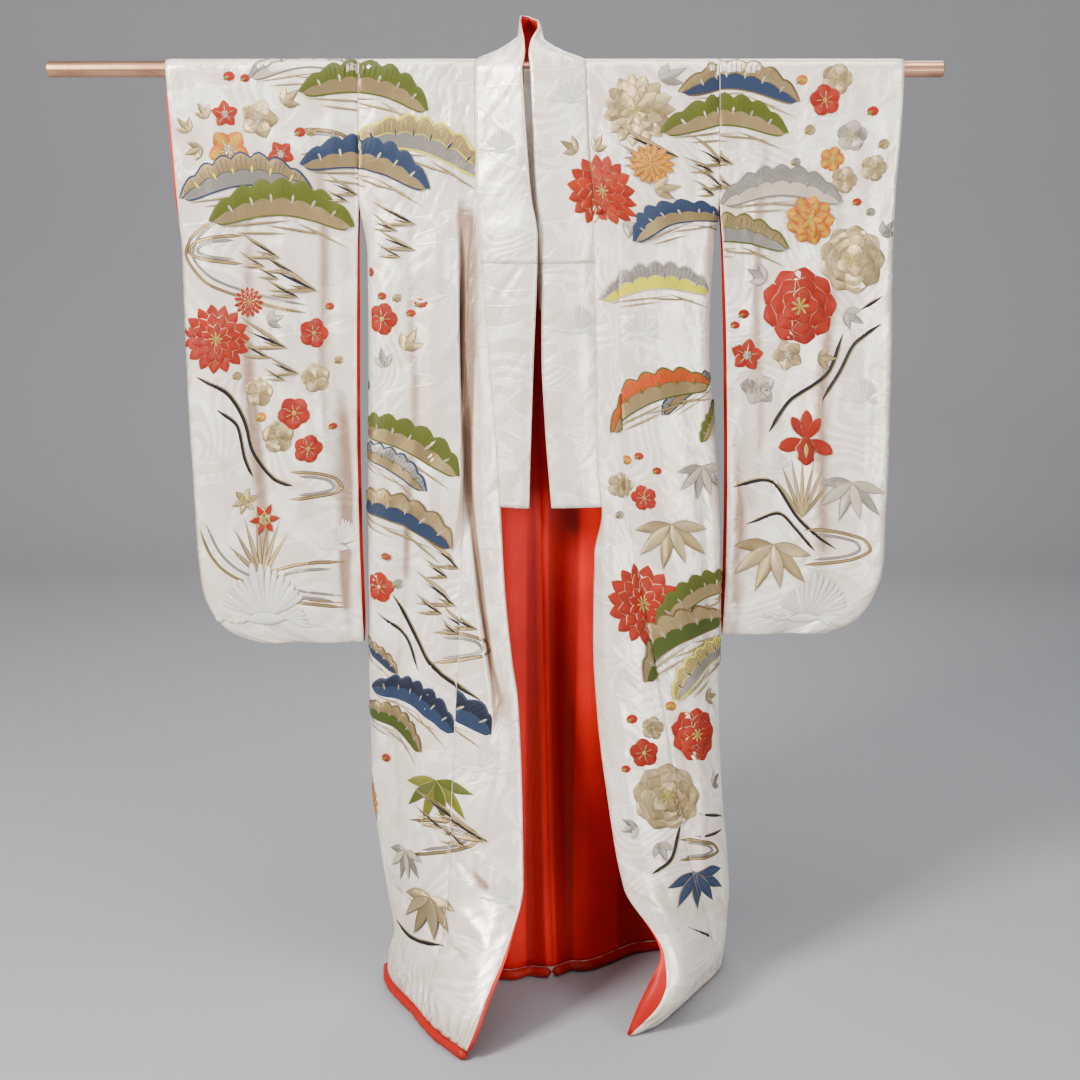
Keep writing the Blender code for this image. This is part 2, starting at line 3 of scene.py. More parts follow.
import bmesh
import bpy
import numpy as np
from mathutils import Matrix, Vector


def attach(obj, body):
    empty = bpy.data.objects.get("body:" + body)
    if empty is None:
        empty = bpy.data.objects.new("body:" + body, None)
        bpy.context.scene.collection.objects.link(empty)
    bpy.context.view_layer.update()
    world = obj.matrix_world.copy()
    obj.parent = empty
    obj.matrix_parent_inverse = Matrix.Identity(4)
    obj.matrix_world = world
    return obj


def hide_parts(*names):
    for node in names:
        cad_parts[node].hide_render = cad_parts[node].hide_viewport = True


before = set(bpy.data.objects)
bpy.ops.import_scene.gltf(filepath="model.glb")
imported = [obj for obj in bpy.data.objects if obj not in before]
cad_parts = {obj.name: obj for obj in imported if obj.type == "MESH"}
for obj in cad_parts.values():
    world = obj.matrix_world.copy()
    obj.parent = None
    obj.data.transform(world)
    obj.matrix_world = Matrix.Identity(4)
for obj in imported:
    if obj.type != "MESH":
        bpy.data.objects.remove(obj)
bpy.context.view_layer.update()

chance = np.random.default_rng(11)
mm = 0.001

# The camera stands where the photograph's stood; its pixels are those of the 1080 frame
photoCamera = {"x": 0.009, "y": -3.3, "z": -0.10, "pitch": 12.86, "focalPixels": 1808.0, "size": 1080,
        "sensor": 36.0}
garment = {"creaseShare": 1.4, "drapeRadius": 0.016, "floorDrop": 1.742, "rollRadius": 0.0105,
           "hemDrop": 1.7195,
           "lowHemDrop": 1.738, "armholeDrop": 0.22, "sideOpeningEnd": 0.335, "collarEnd": 0.778,
           "coverEnd": 0.335, "halfGap": 0.00017, "satin": 0.0015, "lining": 0.001, "cover": 0.001}

# Body: drop below the axis, then x and y of the guide lines in millimetres
# side seam, wrap round the side, chest, ridge, valley, seam with the okumi
leftFront = (
    (0, -311, 0, -272, -15.5, -212, -15.5, -160, -15.5, -132, -15.5, -105, -15.5),
    (100, -313, 0, -275, -19, -215, -21, -158, -23, -130, -23, -105, -22),
    (220, -315, 0, -288, -22, -222, -29, -150, -33, -132, -30, -105, -31),
    (330, -303, 10, -292, -20, -224, -38, -139, -47, -134, -28, -118, -38),
    (460, -304, 11, -294, -22, -226, -45, -139, -55, -136, -24, -122, -45),
    (710, -310, 14, -298, -24, -230, -55, -137, -66, -134, -42, -132, -24),
    (930, -315, 16, -303, -26, -238, -60, -172, -71, -154, -74, -136, -75),
    (1135, -317, 20, -306, -24, -250, -64, -196, -90, -170, -97, -147, -102),
    (1320, -316, 21, -306, -22, -258, -66, -206, -105, -180, -119, -155, -131),
    (1462, -304, 19, -296, -20, -258, -70, -212, -116, -186, -140, -160, -161),
    (1546, -291, 16, -286, -20, -256, -74, -220, -122, -194, -154, -168, -182),
    (1635, -275, 16, -274, -20, -258, -78, -234, -126, -210, -166, -190, -202),
    (1690, -289, 28, -284, -20, -264, -82, -240, -128, -218, -172, -202, -208),
    (1742, -297, 52, -293, -18, -269, -85, -244, -129, -221, -174, -206, -211),
)
# past the seam: ridge, valley, second ridge, front edge, lip of the lining
leftOkumi = (
    (220, -104, -31, -103, -31, -102, -31, -101, -30, -100, -30),
    (330, -113, -41, -108, -41, -103, -40, -95, -36, -94, -36),
    (460, -118, -49, -112, -50, -103, -49, -86, -43, -85, -43),
    (710, -127, -26, -119, -36, -104, -62, -67, -51, -66, -50),
    (930, -114, -78, -103, -61, -86, -79, -56, -72, -54, -70),
    (1060, -95, -99, -85, -82, -70, -98, -43, -90, -40, -87),
    (1135, -88, -115, -74, -108, -58, -111, -32, -105, -29, -102),
    (1320, -118, -150, -90, -156, -58, -154, -24, -149, -20, -146),
    (1462, -128, -182, -96, -193, -60, -202, -22, -199, -17, -197),
    (1546, -138, -208, -110, -226, -80, -243, -46, -250, -40, -250),
    (1635, -166, -236, -141, -264, -115, -290, -88, -305, -81, -306),
    (1690, -184, -244, -163, -276, -139, -304, -110, -329, -103, -331),
    (1742, -190, -241, -172, -270, -154, -297, -132, -337, -126, -338),
)
# side seam, wrap round the side, chest, ridge, valley, seam with the okumi
rightFront = (
    (0, 325, 0, 288, -15.5, 214, -15.5, 160, -15.5, 124, -15.5, 90, -15.5),
    (100, 328, 0, 290, -19, 218, -21, 162, -23, 126, -23, 94, -22),
    (220, 330, 0, 300, -22, 226, -29, 170, -32, 134, -32, 106, -31),
    (290, 324, 8, 305, -23, 252, -34, 210, -38, 176, -38, 147, -37),
    (460, 318, 10, 306, -28, 262, -44, 218, -49, 182, -48, 152, -46),
    (710, 336, 10, 325, -31, 280, -54, 232, -62, 194, -61, 162, -58),
    (868, 348, 10, 338, -31, 295, -57, 250, -68, 214, -68, 184, -65),
    (1026, 348, 18, 341, -27, 312, -57, 276, -74, 242, -77, 213, -78),
    (1167, 351, 25, 346, -22, 326, -53, 298, -77, 268, -86, 241, -91),
    (1325, 358, 35, 356, -12, 342, -46, 320, -77, 294, -92, 268, -100),
    (1486, 376, 62, 374, 18, 364, -22, 346, -60, 324, -84, 300, -97),
    (1600, 385, 100, 384, 64, 378, 28, 366, -8, 350, -38, 333, -56),
    (1675, 382, 130, 383, 98, 381, 66, 373, 32, 363, 0, 350, -22),
    (1742, 379, 152, 380, 122, 379, 92, 374, 62, 367, 34, 357, 10),
)
# past the seam: middle, fold ridge, turned strip, front edge, lip of the lining
rightOkumi = (
    (220, 105, -31, 104, -31, 103, -31, 102, -30, 101, -30),
    (290, 134, -38, 122, -38, 113, -37, 105, -34, 104, -34),
    (460, 142, -47, 131, -47, 121, -45, 110, -41, 109, -41),
    (710, 152, -61, 141, -62, 132, -60, 117, -51, 116, -50),
    (787, 156, -68, 139, -71, 129, -68, 123, -57, 120, -55),
    (868, 162, -77, 139, -81, 128, -76, 110, -51, 106, -49),
    (1026, 178, -93, 146, -98, 132, -94, 108, -66, 104, -64),
    (1167, 194, -110, 156, -116, 140, -112, 116, -93, 112, -91),
    (1325, 214, -126, 176, -134, 156, -132, 136, -119, 132, -117),
    (1486, 246, -142, 210, -160, 188, -161, 166, -151, 162, -149),
    (1600, 300, -130, 276, -178, 258, -197, 240, -202, 232, -202),
    (1640, 311, -120, 288, -182, 268, -216, 243, -226, 213, -219),
    (1675, 314, -108, 287, -178, 262, -224, 231, -238, 194, -231),
    (1742, 306, -74, 262, -146, 222, -204, 172, -243, 168, -239),
)
# past the side seam: outer fold, inner fold
leftBack = (
    (0, -241, 15.5, -170, 15.5),
    (14, -229, 16, -141, 16),
    (32, -212, 17, -110, 17),
    (220, -212, 22, -110, 23),
    (380, -212, 29, -110, 25),
    (710, -212, 36, -108, 25),
    (1000, -213, 39, -104, 21),
    (1320, -212, 43, -100, 16),
    (1546, -206, 41, -94, 8),
    (1635, -200, 38, -91, 4),
    (1690, -200, 37, -88, 1),
    (1742, -201, 36, -86, -1),
)
rightBack = (
    (0, 248, 15.5, 164, 15.5),
    (14, 230, 16, 131, 16),
    (32, 212, 17, 100, 17),
    (220, 216, 22, 106, 23),
    (380, 216, 29, 108, 27),
    (710, 224, 37, 114, 44),
    (1000, 236, 46, 124, 52),
    (1325, 250, 68, 136, 52),
    (1486, 259, 90, 140, 55),
    (1600, 264, 106, 143, 58),
    (1675, 266, 120, 146, 62),
    (1742, 268, 132, 148, 66),
)
# inner edge of the back: each half's neckline, then the centre seam
leftNeckline = ((0, -99, 15.5), (14, -52, 17), (32, -8, 19))
rightNeckline = ((0, 83, 15.5), (14, 37, 17), (32, -8, 19))
centreSeam = ((32, -8, 19), (220, -7, 23), (380, -4, 29), (710, 9, 33), (1000, 14, 29), (1320, 21, 22),
              (1486, 25, 14), (1600, 29, 6), (1742, 34, 0))
# collar: drop, x and y of its middle and of its free edge
leftCollar = (
    (0, -60, -30, -22, -46), (100, -58, -38, -16, -52), (220, -50, -48, -6, -57), (290, -46, -54, 5, -59),
    (380, -44, -59, 3, -62), (500, -40, -63, -2, -67), (640, -36, -66, -7, -69), (778, -35, -66, -11, -70),
)
rightCollar = (
    (0, 44, -26, -8, -33), (100, 46, -33, -4, -38), (220, 54, -42, 1, -43), (290, 60, -48, 6, -46),
    (380, 64, -54, 11, -50), (500, 66, -60, 12, -56), (640, 70, -64, 19, -62), (778, 74, -66, 30, -68),
)
# round the neck: angle round the rod, x, y, z of the middle, then of the free edge
leftNeck = (
    (0, -60, -30, 0, -22, -46, 0), (45, -52, -22, 24, -17, -36, 28), (90, -46, -8, 38, -19, -20, 52),
    (135, -42, 8, 44, -23, -4, 70), (180, -38, 24, 42, -25, 14, 84), (225, -28, 40, 40, -24, 34, 93),
)
rightNeck = (
    (0, 44, -26, 0, -8, -33, 0), (45, 36, -20, 22, -11, -28, 26), (90, 30, -8, 34, -8, -16, 46),
    (135, 28, 8, 40, 0, -2, 62), (180, 24, 24, 40, 5, 14, 72), (225, 14, 40, 38, 4, 34, 84),
)
neckCentre = (-8, 50, 36, -12, 48, 92)
# inner layer of the right collar: drop, x, y of its far edge
collarTurn = ((0, -21, -24), (100, -20, -25), (220, -13, -28), (280, -9, -30), (335, 0, -34), (420, 8, -36))
# sleeve: x and drop of the inner edge, x and drop of the outer edge
leftSleeve = (
    (-311, 0, -650, 0), (-313, 100, -645, 100), (-315, 220, -640, 215), (-319, 310, -637, 310),
    (-323, 430, -638, 430), (-326, 560, -638, 570), (-328, 700, -635, 740), (-328, 830, -632, 880),
    (-327, 910, -627, 945), (-326, 970, -610, 995), (-325, 1020, -580, 1030), (-324, 1050, -525, 1052),
)
rightSleeve = (
    (325, 0, 650, 0), (328, 100, 649, 100), (330, 220, 644, 215), (338, 310, 646, 310),
    (346, 430, 650, 430), (351, 560, 653, 570), (355, 700, 655, 740), (357, 830, 655, 865),
    (357, 900, 650, 925), (356, 955, 634, 972), (355, 1005, 606, 1008), (354, 1035, 552, 1033),
)
sleeveForm = {"columns": (0.0, 0.22, 0.46, 0.70, 0.88, 0.97, 1.0), "belly": (1.0, 1.0, 1.0, 1.0, 0.88,
              0.55, 0.0),
              "cuffRow": 3, "hemRound": 1.6, "depth": 0.012, "narrowingEnd": 0.45, "backReach": 0.004,
              "cuffShow": {-1: 0.009, 1: 0.004}}
# soft folds: crest (x in millimetres, or place across a sleeve), half width, depth, first and last drop
backFolds = ((-255, 30, 9, 450, 1742), (-160, 34, -10, 350, 1742), (-52, 26, -11, 300, 1742),
             (-8, 20, 7, 500, 1742), (52, 30, 13, 300, 1742), (110, 30, -10, 450, 1742),
             (196, 36, 12, 350, 1742), (300, 32, -11, 500, 1742))
sleeveWaves = ((0.10, 0.05, 3.0, 250, 1050), (0.36, 0.16, -4.0, 230, 1050), (0.62, 0.14, 4.0, 200, 1050),
               (0.84, 0.10, -3.0, 350, 1000))

# Creases placed one by one: x, drop of one end, x, drop of the other, half width, height (all millimetres)
leftCreases = (
    (-262, 260, -282, 1250, 20, 3.5), (-212, 240, -232, 900, 15, -3.0), (-176, 300, -196, 760, 12, 2.5),
    (-240, 700, -262, 1400, 16, -3.0), (-196, 900, -214, 1440, 13, 3.0), (-296, 620, -300, 1180, 9, 2.0),
    (-282, 1486, -222, 1500, 7, 3.2), (-280, 1520, -206, 1538, 6, -3.0), (-272, 1556, -214, 1568, 7, 3.4),
    (-268, 1590, -222, 1602, 6, -2.6), (-270, 1628, -214, 1634, 6, 2.4), (-250, 1660, -205, 1672, 6, -2.4),
    (-150, 1378, -60, 1436, 13, 4.0), (-142, 1428, -52, 1492, 11, -4.0), (-160, 1500, -84, 1556, 10, 3.6),
    (-170, 1560, -112, 1600, 8, -3.2), (-178, 1610, -120, 1646, 7, 3.0), (-60, 1150, -96, 1380, 12, 3.0),
    (-126, 60, -118, 210, 7, -1.8), (-148, 30, -146, 150, 6, 1.6), (-168, 20, -170, 110, 6, -1.4),
    (-290, 40, -270, 210, 14, 2.2), (-300, 150, -262, 330, 10, -2.2), (-230, 1240, -246, 1560, 11, 2.6),
)
rightCreases = (
    (206, 260, 262, 1150, 20, 3.5), (262, 250, 318, 1080, 16, -3.2), (170, 330, 206, 900, 12, 2.6),
    (246, 900, 300, 1440, 15, -3.4), (286, 1180, 338, 1580, 14, 4.0), (150, 1150, 196, 1420, 11, 3.0),
    (326, 700, 342, 1300, 9, 2.4), (168, 1420, 250, 1500, 11, -3.4), (190, 1480, 290, 1566, 10, 3.4),
    (330, 1440, 372, 1640, 9, -3.0), (240, 1540, 330, 1610, 9, -3.0), (112, 60, 116, 200, 7, -1.8),
    (134, 24, 140, 140, 6, 1.6), (156, 20, 160, 100, 6, -1.4), (300, 40, 286, 220, 14, 2.2),
    (312, 160, 282, 330, 10, -2.2), (210, 1560, 262, 1600, 7, 2.8), (132, 1210, 168, 1390, 9, -2.6),
)
leftSleeveCreases = (
    (-352, 60, -346, 560, 12, 3.0), (-388, 120, -380, 760, 14, -2.6), (-452, 60, -458, 640, 16, 2.6),
    (-520, 200, -512, 900, 16, -2.8), (-572, 80, -590, 700, 14, 2.4), (-420, 600, -436, 1000, 15, 2.6),
    (-604, 520, -600, 940, 10, -2.0), (-346, 620, -356, 980, 9, -2.2), (-480, 860, -468, 1030, 10, 2.0),
)
rightSleeveCreases = (
    (366, 60, 372, 520, 12, 3.0), (404, 140, 408, 780, 14, -2.6), (468, 60, 462, 620, 16, 2.6),
    (536, 220, 528, 860, 16, -2.8), (590, 80, 604, 720, 14, 2.4), (438, 580, 446, 980, 15, 2.6),
    (620, 500, 622, 900, 10, -2.0), (372, 640, 378, 970, 9, -2.2), (500, 840, 496, 1010, 10, 2.0),
)


# Smooth curves through the tables' rows
def smoothCurve(places, values, queries):
    places = np.array(places, float)
    values = np.array(values, float).reshape(len(places), -1)
    steps = np.diff(values, axis=0) / np.diff(places)[:, None]
    slopes = np.vstack([steps[:1], np.zeros((len(places) - 2, values.shape[1])), steps[-1:]])
    before, after = steps[:-1], steps[1:]
    agree = before * after > 0
    slopes[1:-1] = np.where(agree, 2 * before * after / np.where(agree, before + after, 1), 0)
    q = np.clip(np.array(queries, float), places[0], places[-1])
    i = np.clip(np.searchsorted(places, q, side="right") - 1, 0, len(places) - 2)
    w = (places[i + 1] - places[i])[:, None]
    t = (q[:, None] - places[i][:, None]) / w
    return ((1 + 2 * t) * (1 - t) ** 2 * values[i] + t * (1 - t) ** 2 * w * slopes[i]
            + t * t * (3 - 2 * t) * values[i + 1] + t * t * (t - 1) * w * slopes[i + 1])


def ease(low, high, place):
    t = np.clip((np.array(place, float) - low) / (high - low), 0, 1)
    return t * t * (3 - 2 * t)


def tableAt(table, drops):
    rows = np.array(table, float)
    return smoothCurve(rows[:, 0], rows[:, 1:], np.array(drops) / mm)


def armholeDepth(drops):
    drops = np.array(drops, float)
    hang = garment["drapeRadius"] - 0.0025 * np.minimum(drops / garment["armholeDrop"], 1)
    return hang * (1 - ease(garment["armholeDrop"], garment["sideOpeningEnd"], drops))


def sideLine(frontTable, drops, way):
    line = tableAt(frontTable, drops)[:, :2]
    line[:, 1] += way * armholeDepth(drops) / mm
    return line


# Points (rows, columns, 3) on smooth sections through each row's guide lines
def across(lines, columns, drops):
    places = range(lines.shape[1] // 2)
    x = smoothCurve(places, lines[:, 0::2].T, columns).T
    y = smoothCurve(places, lines[:, 1::2].T, columns).T
    z = np.broadcast_to(-np.array(drops)[:, None], x.shape)
    return np.stack([x * mm, y * mm, z], axis=2)


# Height in metres of the creases at places x and drop in millimetres
def creaseHeight(x, drop, creases):
    total = np.zeros(np.shape(x))
    for x0, d0, x1, d1, half, height in creases:
        along = np.array((x1 - x0, d1 - d0), float)
        t = np.clip(((x - x0) * along[0] + (drop - d0) * along[1]) / (along @ along), 0, 1)
        wander = half * 0.5 * np.sin(t * 7.0 + x0 * 0.13)
        gap = np.hypot(x - x0 - t * along[0] - wander, drop - d0 - t * along[1])
        total += height * np.exp(-(gap / half) ** 2) * (0.55 + 0.45 * np.sin(np.pi * t))
    return total * mm * garment["creaseShare"]


def foldHeight(folds, place, drop):
    total = np.zeros(np.shape(place))
    for crest, half, depth, first, last in folds:
        reach = np.abs(place - crest) / (half * 1.6)
        grow = ease(first, first + 0.6 * (last - first), drop)
        total += np.where(reach < 1, depth * grow * np.cos(np.minimum(reach, 1) * np.pi / 2) ** 2, 0)
    return total * mm


# Raises a grid's creases, forward on a front and backward on a back
def creaseOver(points, creases, way=-1):
    lift = creaseHeight(points[..., 0] / mm, -points[..., 2] / mm, creases)
    out = points.copy()
    out[..., 1] += way * lift
    return out


# Places across guide lines that give a panel cells of about one width
def evenColumns(sample, top, count):
    fine = np.linspace(0, top, 400)
    steps = np.linalg.norm(np.diff(sample(fine), axis=1), axis=2).mean(axis=0)
    length = np.concatenate([[0], np.cumsum(steps)])
    return np.interp(np.linspace(0, length[-1], count), length, fine)


def overRod(front, back, angles):
    turn = np.radians(angles)[:, None]
    x = front[None, :, 0] + (back - front)[None, :, 0] * np.array(angles)[:, None] / 180
    r = garment["drapeRadius"]
    return np.stack([x, np.broadcast_to(-r * np.cos(turn), x.shape), np.broadcast_to(r * np.sin(turn),
            x.shape)], 2)


fineness = {"bodyColumns": 51, "rowStep": 0.0075, "okumiColumns": 31, "sleeveColumns": 47,
        "collarColumns": 17}
rodAngles = np.arange(15, 180, 15)


def dropsTo(hem, first=0.0):
    return np.linspace(first, hem, int(round((hem - first) / fineness["rowStep"])) + 1)


def bodyGrid(front, back, neckline, frontHem, creases):
    drops = dropsTo(frontHem)
    lines = np.hstack([sideLine(front, drops, -1), tableAt(front, drops)[:, 2:]])
    places = evenColumns(lambda c: across(lines, c, drops), 5, fineness["bodyColumns"])
    frontPoints = creaseOver(across(lines, places, drops), creases)
    backDrops = np.concatenate([np.linspace(0, 0.032, 5), dropsTo(garment["hemDrop"], 0.04)])
    upper = tableAt(neckline, backDrops)
    lower = tableAt(centreSeam, backDrops)
    inner = np.where(backDrops[:, None] < 0.032, upper, lower)
    lines = np.hstack([sideLine(front, backDrops, 1), tableAt(back, backDrops), inner])
    places = evenColumns(lambda c: across(lines, c, backDrops), 3, fineness["bodyColumns"])
    backPoints = across(lines, places, backDrops)
    free = ease(0, 0.5, places) * (1 - ease(2.6, 3.0, places))
    drop = -backPoints[..., 2] / mm
    backPoints[..., 1] += free * foldHeight(backFolds, backPoints[..., 0] / mm, drop)
    flipped = [(x0, d0 + 60, x1, d1, half, -0.8 * height) for x0, d0, x1, d1, half, height in creases]
    backPoints = creaseOver(backPoints, flipped, 1)
    rod = overRod(frontPoints[0], backPoints[0], rodAngles)
    return np.concatenate([frontPoints[::-1], rod, backPoints]), len(drops)


def okumiGrid(front, table, hem, creases):
    drops = dropsTo(hem, garment["armholeDrop"])
    lines = np.hstack([tableAt(front, drops)[:, -2:], tableAt(table, drops)])
    places = evenColumns(lambda c: across(lines, c, drops), 4, fineness["okumiColumns"])
    places = np.concatenate([places, [4.5, 5.0]])
    return creaseOver(across(lines, places, drops), creases)[::-1]


def collarRow(seam, middle, edge):
    bow = (middle - (edge + seam) / 2) * 0.35
    return np.stack([seam, (seam + middle) / 2 + bow, middle, (edge + middle) / 2 + bow, edge])


def collarHalf(front, back, okumi, neckline, table, neck, creases):
    rows = []
    for drop in dropsTo(garment["collarEnd"])[::-1]:
        if drop >= garment["armholeDrop"]:
            lines = np.hstack([tableAt(front, [drop])[:, -2:], tableAt(okumi, [drop])])
            seam = creaseOver(across(lines, [4], [drop]), creases)[0, 0]
        else:
            lines = np.hstack([sideLine(front, [drop], -1), tableAt(front, [drop])[:, 2:]])
            seam = creaseOver(across(lines, [5], [drop]), creases)[0, 0]
        mid = tableAt(table, [drop])[0]
        rows.append(collarRow(seam, np.array((mid[0], mid[1], -drop / mm)) * mm,
                              np.array((mid[2], mid[3], -drop / mm)) * mm))
    backDrops = np.linspace(0, 0.032, 5)
    backSeams = np.hstack([tableAt(neckline, backDrops) * mm, -backDrops[:, None]])
    seams = np.vstack([overRod(rows[-1][:1], backSeams[:1], rodAngles)[:, 0], backSeams])
    angles = np.concatenate([rodAngles, 180 + np.linspace(0, 62, 5)])[:-1]
    for seam, place in zip(seams[:-1], tableAt(neck, angles * mm)):
        rows.append(collarRow(seam, place[:3] * mm, place[3:] * mm))
    return rows, backSeams[-1]


# Finer columns on rows of five guide points
def acrossRows(rows, count):
    rows = np.array(rows)
    places = np.linspace(0, 4, count)
    return np.stack([smoothCurve(range(5), rows[:, :, k].T, places).T for k in range(3)], axis=2)


def sleeveGrid(table, side, creases):
    form = sleeveForm
    last = len(table) - 1
    top = np.linspace(0, last - 1, 124)
    places = np.concatenate([top, last - np.geomspace(1, 0.001, 16)[1:]])
    edges = smoothCurve(range(last + 1), np.array(table, float), places) * mm
    u = np.linspace(0, 1, fineness["sleeveColumns"])
    belly = smoothCurve(form["columns"], form["belly"], u)[:, 0]
    closed = ease(form["cuffRow"] - 1, form["cuffRow"], places)[:, None]
    rounding = np.sqrt(np.minimum((last - places) / form["hemRound"], 1))[:, None]
    x = edges[:, :1] + (edges[:, 2:3] - edges[:, :1]) * u
    drop = edges[:, 1:2] + (edges[:, 3:4] - edges[:, 1:2]) * u
    depth = form["depth"] + (garment["drapeRadius"] - form["depth"]) * (1 - ease(0, form["narrowingEnd"],
            drop))
    depth[:, 0] = np.where(drop[:, 0] <= garment["armholeDrop"], armholeDepth(drop[:, 0]), depth[:, 0])
    depth = depth * (1 - closed + closed * belly) * rounding
    swing = foldHeight(sleeveWaves, np.broadcast_to(u, x.shape), drop / mm)
    reach = form["backReach"] * (1 - u) * ease(garment["armholeDrop"], form["narrowingEnd"], drop)
    cuff = form["cuffShow"][side] * u ** 8 * (1 - closed) * ease(0.0, 0.05, drop)
    reach = reach * side * rounding - cuff * side
    free = np.minimum(u / 0.04, 1) * rounding
    lift = creaseHeight(x / mm, drop / mm, creases) * free
    front = np.stack([x, swing - depth - lift, -drop], axis=2)
    rear = np.stack([x - reach, swing + depth + 0.8 * lift, -drop], axis=2)
    rod = overRod(front[0], rear[0], rodAngles)
    return np.concatenate([front[::-1], rod, rear]), len(places)


# Every panel's guide grid; the front rows come first, from the hem up
print("guide grids")
grids = {}
frontRows = {}
grids["bodyLeft"], frontRows["bodyLeft"] = bodyGrid(leftFront, leftBack, leftNeckline, garment["hemDrop"],
                                                    leftCreases)
grids["bodyRight"], frontRows["bodyRight"] = bodyGrid(rightFront, rightBack, rightNeckline,
                                                      garment["lowHemDrop"], rightCreases)
grids["okumiLeft"] = okumiGrid(leftFront, leftOkumi, garment["hemDrop"], leftCreases)
grids["okumiRight"] = okumiGrid(rightFront, rightOkumi, garment["lowHemDrop"], rightCreases)
grids["sleeveLeft"], frontRows["sleeveLeft"] = sleeveGrid(leftSleeve, -1, leftSleeveCreases)
grids["sleeveRight"], frontRows["sleeveRight"] = sleeveGrid(rightSleeve, 1, rightSleeveCreases)
leftHalf, nape = collarHalf(leftFront, leftBack, leftOkumi, leftNeckline, leftCollar, leftNeck, leftCreases)
rightHalf, nape = collarHalf(rightFront, rightBack, rightOkumi, rightNeckline, rightCollar, rightNeck,
                             rightCreases)
centreRow = collarRow(nape, np.array(neckCentre[:3]) * mm, np.array(neckCentre[3:]) * mm)
grids["collar"] = acrossRows(leftHalf + [centreRow] + rightHalf[::-1], fineness["collarColumns"])
turns = {"bodyLeft": 1, "bodyRight": -1, "okumiLeft": 1, "okumiRight": -1, "sleeveLeft": -1,
         "sleeveRight": 1,
         "collar": 1}


def faceSums(grid, turn):
    normal = np.cross(grid[1:, 1:] - grid[:-1, :-1], grid[1:, :-1] - grid[:-1, 1:]) * turn
    length = np.linalg.norm(normal, axis=2, keepdims=True)
    normal = np.where(length > 1e-10, normal / np.maximum(length, 1e-10), 0)
    total = np.zeros(grid.shape)
    for j in (slice(0, -1), slice(1, None)):
        for i in (slice(0, -1), slice(1, None)):
            total[j, i] += normal
    return total


def unit(vectors):
    return vectors / np.maximum(np.linalg.norm(vectors, axis=-1, keepdims=True), 1e-9)


# Normals are shared where panels meet, so that their cloth stays in line across a seam
sums = {name: faceSums(grid, turns[name]) for name, grid in grids.items()}
known = {}
for name, grid in grids.items():
    rim = np.zeros(grid.shape[:2], bool)
    rim[[0, -1]] = True
    rim[:, [0, -1]] = True
    if name.startswith("okumi"):
        rim[:, -3] = True
    for j, i in zip(*np.nonzero(rim)):
        known.setdefault(tuple(np.round(grid[j, i] * 8000).astype(int)), []).append((name, j, i))
for places in known.values():
    total = sum(sums[name][j, i].copy() for name, j, i in places)
    for name, j, i in places:
        sums[name][j, i] = total
normals = {name: unit(total) for name, total in sums.items()}


# Mean distance along a grid's rows and columns, in metres
def lengths(grid):
    u = np.concatenate([[0], np.cumsum(np.linalg.norm(np.diff(grid, axis=1), axis=2).mean(axis=0))])
    v = np.concatenate([[0], np.cumsum(np.linalg.norm(np.diff(grid, axis=0), axis=2).mean(axis=1))])
    return u, v


def makeMesh(name, verts, faces, material, recalc=True):
    mesh = bpy.data.meshes.new(name)
    mesh.from_pydata([tuple(v) for v in verts], [], [tuple(f) for f in faces])
    if recalc:
        work = bmesh.new()
        work.from_mesh(mesh)
        bmesh.ops.recalc_face_normals(work, faces=work.faces)
        work.to_mesh(mesh)
        work.free()
    mesh.shade_smooth()
    mesh.materials.append(material)
    piece = bpy.data.objects.new(name, mesh)
    bpy.context.scene.collection.objects.link(piece)
    return piece


# Lays the cloth's own map, in metres along and across its threads
def clothMap(piece, coordinates):
    mesh = piece.data
    layer = mesh.uv_layers.new(name="cloth")
    index = np.zeros(len(mesh.loops), np.int32)
    mesh.loops.foreach_get("vertex_index", index)
    layer.data.foreach_set("uv", coordinates[index].astype(np.float32).ravel())


# Where points show in the photograph's frame
def photoPixels(points):
    view = photoCamera
    pitch = math.radians(view["pitch"])
    x, y, z = points[..., 0] - view["x"], points[..., 1] - view["y"], points[..., 2] - view["z"]
    depth = y * math.cos(pitch) - z * math.sin(pitch)
    up = y * math.sin(pitch) + z * math.cos(pitch)
    middle = view["size"] / 2
    return np.stack([middle + view["focalPixels"] * x / depth, middle - view["focalPixels"] * up / depth],
            axis=-1)


# Painted shade in bands along the long folds, darkening the satin's colour: half width, strength, then
# pixels along the fold's middle from its upper end
foldShades = (
    (11, 0.52, (468, 190), (469, 258), (469, 332), (471, 400), (474, 470), (481, 560), (490, 637),
    (497, 700), (500, 745)),
    (8, 0.30, (604, 490), (605, 560), (611, 640), (616, 720)),
    (9, 0.20, (590, 270), (592, 340), (592, 420), (591, 505)),
    (10, 0.17, (511, 300), (512, 360), (513, 430), (511, 505)),
    (10, 0.18, (522, 80), (524, 150), (527, 215), (531, 270)),
    (8, 0.15, (500, 520), (510, 640), (517, 760), (520, 880)),
    (10, 0.14, (345, 235), (340, 330), (345, 450), (350, 600)),
    (12, 0.12, (700, 260), (703, 420), (706, 600), (712, 780)),
)


# Painted shade: how much each front-facing point of the satin darkens in the bands along the long folds
def paintedFoldShade(grid, normal):
    pixels = photoPixels(grid)
    total = np.zeros(grid.shape[:2])
    for half, strength, *line in foldShades:
        line = np.array(line, float)
        middle = np.interp(pixels[..., 1], line[:, 1], line[:, 0])
        ends = np.minimum(pixels[..., 1] - line[0, 1], line[-1, 1] - pixels[..., 1])
        total += strength * ease(0, 45, ends) * np.exp(-((pixels[..., 0] - middle) / half) ** 2)
    return total * (normal[..., 1] < 0)
